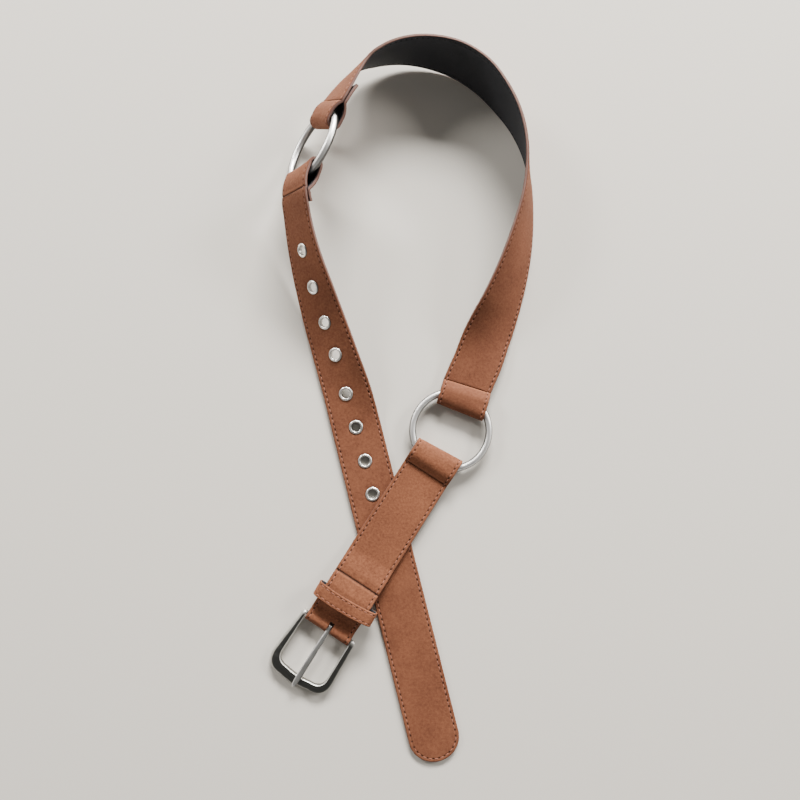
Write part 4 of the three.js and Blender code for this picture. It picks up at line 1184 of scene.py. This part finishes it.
# Across the frame: inset from the side, drop from the face, and how worn the plating is there; the last also
# holds painted highlight, so bevels turned to the light, the left side's outer one most of all, are lighter
# than those turned away
FRAME_INNER_SIDE = [
    (0.72, 0.0, 0.1), (0.6, 0.03, 0.75), (0.42, 0.14, 1.0),
    (0.22, 0.34, 1.0), (0.07, 0.6, 0.7), (0.0, 0.95, 0.25),
]
FRAME_RIGHT_SIDE = [
    (0.55, 0.0, 0.1), (0.48, 0.03, 0.3), (0.34, 0.12, 0.4),
    (0.18, 0.28, 0.45), (0.06, 0.46, 0.4), (0.0, 0.7, 0.2),
]
FRAME_LEFT_SIDE = [
    (1.9, 0.0, 0.1), (1.7, 0.12, 0.35), (1.35, 0.5, 0.5),
    (0.9, 1.1, 0.55), (0.4, 1.85, 0.85), (0.0, 2.6, 0.9),
]
BACK_WEAR = 0.3
ARM_STEPS, CORNER_STEPS, FRONT_STEPS = 24, 20, 14
SIDE_BLEND = 12

# Rounded ends of the arms: length, loops, how small the last one is, how full they are
CAP_LENGTH, CAP_STEPS, CAP_END, CAP_FULLNESS = 1.7, 6, 0.02, 0.7
HEEL_WEAR_REACH, HEEL_WEAR_FADE = 2.2, 1.5


def frame_side(heel, shoulder, corner_control, corner, bow):
    """Half the frame's outline in plan, from a heel to the middle of the front."""
    heel, shoulder, corner_control, corner, bow = map(np.array, (heel, shoulder, corner_control, corner, bow))
    points = [heel + (shoulder - heel) * k / ARM_STEPS for k in range(ARM_STEPS + 1)]
    points += curve_points(shoulder, corner_control, corner, CORNER_STEPS)
    halfway = (corner + bow) / 2
    return np.array(points + curve_points(corner, halfway, halfway * np.array([1, 0]), FRONT_STEPS))


def frame_outline(right, left):
    """The frame's outline in plan, from the right heel round the front to the left one."""
    right_side, left_side = frame_side(*right), frame_side(*left)
    front = (right_side[-1] + left_side[-1]) / 2
    return np.vstack([right_side[:-1], front, left_side[-2::-1] * np.array([1.0, -1.0])])


def frame_cap(loop, wear_and_highlight_share):
    """Rounded end of an arm, as shrinking loops."""
    angles = (np.arange(1, CAP_STEPS + 1) * math.pi / (2 * CAP_STEPS))[:, None]
    middle = loop.mean(axis=0)
    shrink = np.maximum(np.cos(angles), CAP_END) ** CAP_FULLNESS
    loops = middle + (loop - middle) * shrink[..., None] - X * (CAP_LENGTH * np.sin(angles))[..., None]
    return loops, np.maximum(wear_and_highlight_share, 0.5 + 0.5 * np.sin(angles))


def buckle_frame():
    half = FRAME_THICKNESS / 2
    loops, worn = [], []
    outer, inner = frame_outline(FRAME_RIGHT, FRAME_LEFT), frame_outline(FRAME_INNER, FRAME_INNER)
    for outside, inside in zip(outer, inner):
        width = np.linalg.norm(outside - inside)
        across = (outside - inside) / width
        left = 0.5 - 0.5 * np.clip(outside[1] / SIDE_BLEND, -1, 1)
        outer_side = np.array(FRAME_RIGHT_SIDE) * (1 - left) + np.array(FRAME_LEFT_SIDE) * left
        section = [(inset, half - drop, wear_and_highlight_share) for inset, drop, wear_and_highlight_share in FRAME_INNER_SIDE[::-1]]
        section += [(width - inset, half - drop, wear_and_highlight_share) for inset, drop, wear_and_highlight_share in outer_side]
        section += [(width - inset, drop - half, BACK_WEAR) for inset, drop, _ in FRAME_INNER_SIDE[::-1]]
        section += [(inset, drop - half, BACK_WEAR) for inset, drop, _ in FRAME_INNER_SIDE]
        loops.append([np.append(inside + across * reach, z) for reach, z, _ in section])
        worn.append([wear_and_highlight_share for _, _, wear_and_highlight_share in section])
    first, first_wear = frame_cap(np.array(loops[0]), worn[0])
    last, last_wear = frame_cap(np.array(loops[-1]), worn[-1])
    loops = np.concatenate([first[::-1], loops, last])
    worn = np.concatenate([first_wear[::-1], worn, last_wear])
    worn = np.maximum(worn, np.clip((HEEL_WEAR_REACH - loops[..., 0]) / HEEL_WEAR_FADE, 0, 1))
    places = np.linspace(-BAR_REACH, BAR_REACH, BAR_STEPS)
    bar = [circle(Y * y, X, UP, BAR_RADIUS, BAR_SIDES) for y in places]
    shell = Shell()
    shell.add_tube(buckle_place(loops, FRAME_TILT), worn=worn)
    shell.add_tube(buckle_place(bar, FRAME_TILT), worn=np.zeros((BAR_STEPS, BAR_SIDES)))
    make_piece("buckle_frame_gunmetal", shell, [GUNMETAL], "frame", ["buckle_frame"])


buckle_frame()

# Along the prong's shank: x, middle height, half width, half height
PRONG_SHANK = [
    (1.5, 2.1, 1.3, 0.6), (4, 2.05, 1.4, 0.9), (8, 2.1, 1.6, 1.1), (18, 2.15, 1.85, 1.2),
    (27, 2.1, 2.0, 1.16), (34.5, 2.05, 2.06, 1.1), (39, 1.9, 2.0, 1.05), (42, 1.65, 1.8, 0.98),
    (43.4, 1.55, 1.62, 0.9), (45.0, 1.45, 1.34, 0.76), (45.7, 1.4, 0.95, 0.56),
    (46.05, 1.35, 0.56, 0.36), (46.15, 1.33, 0.12, 0.08),
]
PRONG_EYE_RADIUS, PRONG_EYE_HALF_WIDTH, PRONG_EYE_HALF_WALL = 2.17, 1.3, 0.52
PRONG_EYE_START, PRONG_EYE_SWEEP, PRONG_EYE_STEPS = 18, 288, 26
PRONG_SIDES, PRONG_SQUARENESS = 24, 0.85
PRONG_SHADE_SLOPE, PRONG_SHADE_FROM = 1.5, 0.35

# Steps along the prong, and how far from its point the fine ones begin
SHANK_STEP, POINT_STEP = 0.4, 0.1
SHANK_TO_POINT, FINE_TO_POINT = 2.4, 2.3


def buckle_prong():
    """A pin curled round the bar, with a tapered shank that rests on the front of the frame."""
    sweep = np.arange(PRONG_EYE_STEPS + 1) / PRONG_EYE_STEPS
    eye = np.zeros((len(sweep), 4)) + (0, 0, PRONG_EYE_HALF_WIDTH, PRONG_EYE_HALF_WALL)
    angles = np.radians(PRONG_EYE_START - PRONG_EYE_SWEEP * sweep)
    eye[:, :2] = PRONG_EYE_RADIUS * np.stack([np.cos(angles), np.sin(angles)], axis=1)
    knots = np.vstack([eye, PRONG_SHANK])
    lengths = walked(knots[:, :2])
    whole = lengths[-1]
    shank = np.arange(0, whole - SHANK_TO_POINT, SHANK_STEP)
    places = np.concatenate([shank, np.arange(whole - FINE_TO_POINT, whole, POINT_STEP), [whole]])
    x, z, width, height = (np.interp(places, lengths, column)[:, None] for column in knots.T)
    travel = unit(np.gradient(np.hstack([x, z]), axis=0))
    up = travel[:, :1] * UP - travel[:, 1:] * X
    turns = np.arange(PRONG_SIDES) * 2 * math.pi / PRONG_SIDES
    side, rise = (
        np.copysign(np.abs(part) ** PRONG_SQUARENESS, part) for part in (np.cos(turns), np.sin(turns))
    )
    loops = (x * X + PRONG_ASIDE * Y + z * UP)[:, None]
    loops = loops + (width * side)[..., None] * Y + (height * rise)[..., None] * up[:, None]
    # Painted shade down the side of the prong turned from the light
    shade = np.clip(np.cos(turns) * PRONG_SHADE_SLOPE - PRONG_SHADE_FROM, 0, 1)
    shell = Shell()
    shell.add_tube(buckle_place(loops)[::-1], dulled=np.tile(shade, (len(loops), 1)))
    make_piece("buckle_prong_pin", shell, [PRONG_SILVER], "prong", ["buckle_prong"])


buckle_prong()

# Floor, light and camera

FLOOR_HALF = 3.0

# Windows round the loop's top: name, azimuth in degrees, width, power
WINDOWS = [("right_window", 25, 0.8, 50.0), ("top_window", 79, 1.5, 252.0), ("left_window", 138, 0.7, 46.0)]
WINDOW_DISTANCE, WINDOW_HEIGHT = 2.4, 1.14
WINDOW_TALL = 0.5
WINDOW_COLOUR = (1.0, 0.975, 0.94)
CEILING_STRENGTH, WALL_STRENGTH, WALL_FALL = 0.13, 1.7, 3.5

CAMERA_SENSOR, CAMERA_LENS = 36.0, 30.15
CAMERA_BACK, CAMERA_HEIGHT = -0.0419, 0.4788
CAMERA_TILT = math.radians(5)


def floor():
    mesh = bpy.data.meshes.new("pale_floor")
    corners = [(x * FLOOR_HALF, y * FLOOR_HALF, 0) for x, y in ((-1, -1), (1, -1), (1, 1), (-1, 1))]
    mesh.from_pydata(corners, [], [(0, 1, 2, 3)])
    look = Finish("pale_floor", Base_Color=paint(216, 211, 202), Roughness=0.9, Specular_IOR_Level=0.2)
    mesh.materials.append(look.material)
    made = bpy.data.objects.new("pale_floor", mesh)
    bpy.context.scene.collection.objects.link(made)


def window(name, azimuth, width, power):
    """A long low panel of daylight, turned to the loop."""
    data = bpy.data.lights.new(name, "AREA")
    data.shape = "RECTANGLE"
    data.size, data.size_y = width, WINDOW_TALL
    data.energy = power
    data.color = WINDOW_COLOUR
    made = bpy.data.objects.new(name, data)
    angle = math.radians(azimuth)
    place = Vector((WINDOW_DISTANCE * math.cos(angle), WINDOW_DISTANCE * math.sin(angle), WINDOW_HEIGHT))
    made.location = place
    made.rotation_euler = (-place).to_track_quat("-Z", "Y").to_euler()
    bpy.context.scene.collection.objects.link(made)


def room():
    """A dim room, lighter low down than overhead."""
    world = bpy.data.worlds.new("room")
    world.use_nodes = True
    bpy.context.scene.world = world
    nodes = Nodes(world.node_tree)
    height = nodes.node("SeparateXYZ", {0: nodes.node("TexCoord")["Generated"]})["Z"]
    low_down = nodes.maths("SUBTRACT", 1.0, nodes.maths("ABSOLUTE", height))
    walls = nodes.maths("POWER", low_down, WALL_FALL)
    back = world.node_tree.nodes["Background"].inputs
    nodes.feed(back["Color"], (*WINDOW_COLOUR, 1))
    nodes.feed(back["Strength"], nodes.maths("MULTIPLY_ADD", walls, WALL_STRENGTH, CEILING_STRENGTH))


floor()
room()
for panel in WINDOWS:
    window(*panel)

camera_data = bpy.data.cameras.new("camera")
camera_data.sensor_width = CAMERA_SENSOR
camera_data.lens = CAMERA_LENS
camera = bpy.data.objects.new("camera", camera_data)
camera.location = (SHIFT[0], CAMERA_BACK + SHIFT[1], CAMERA_HEIGHT)
camera.rotation_euler = (CAMERA_TILT, 0, 0)
bpy.context.scene.collection.objects.link(camera)
bpy.context.scene.camera = camera
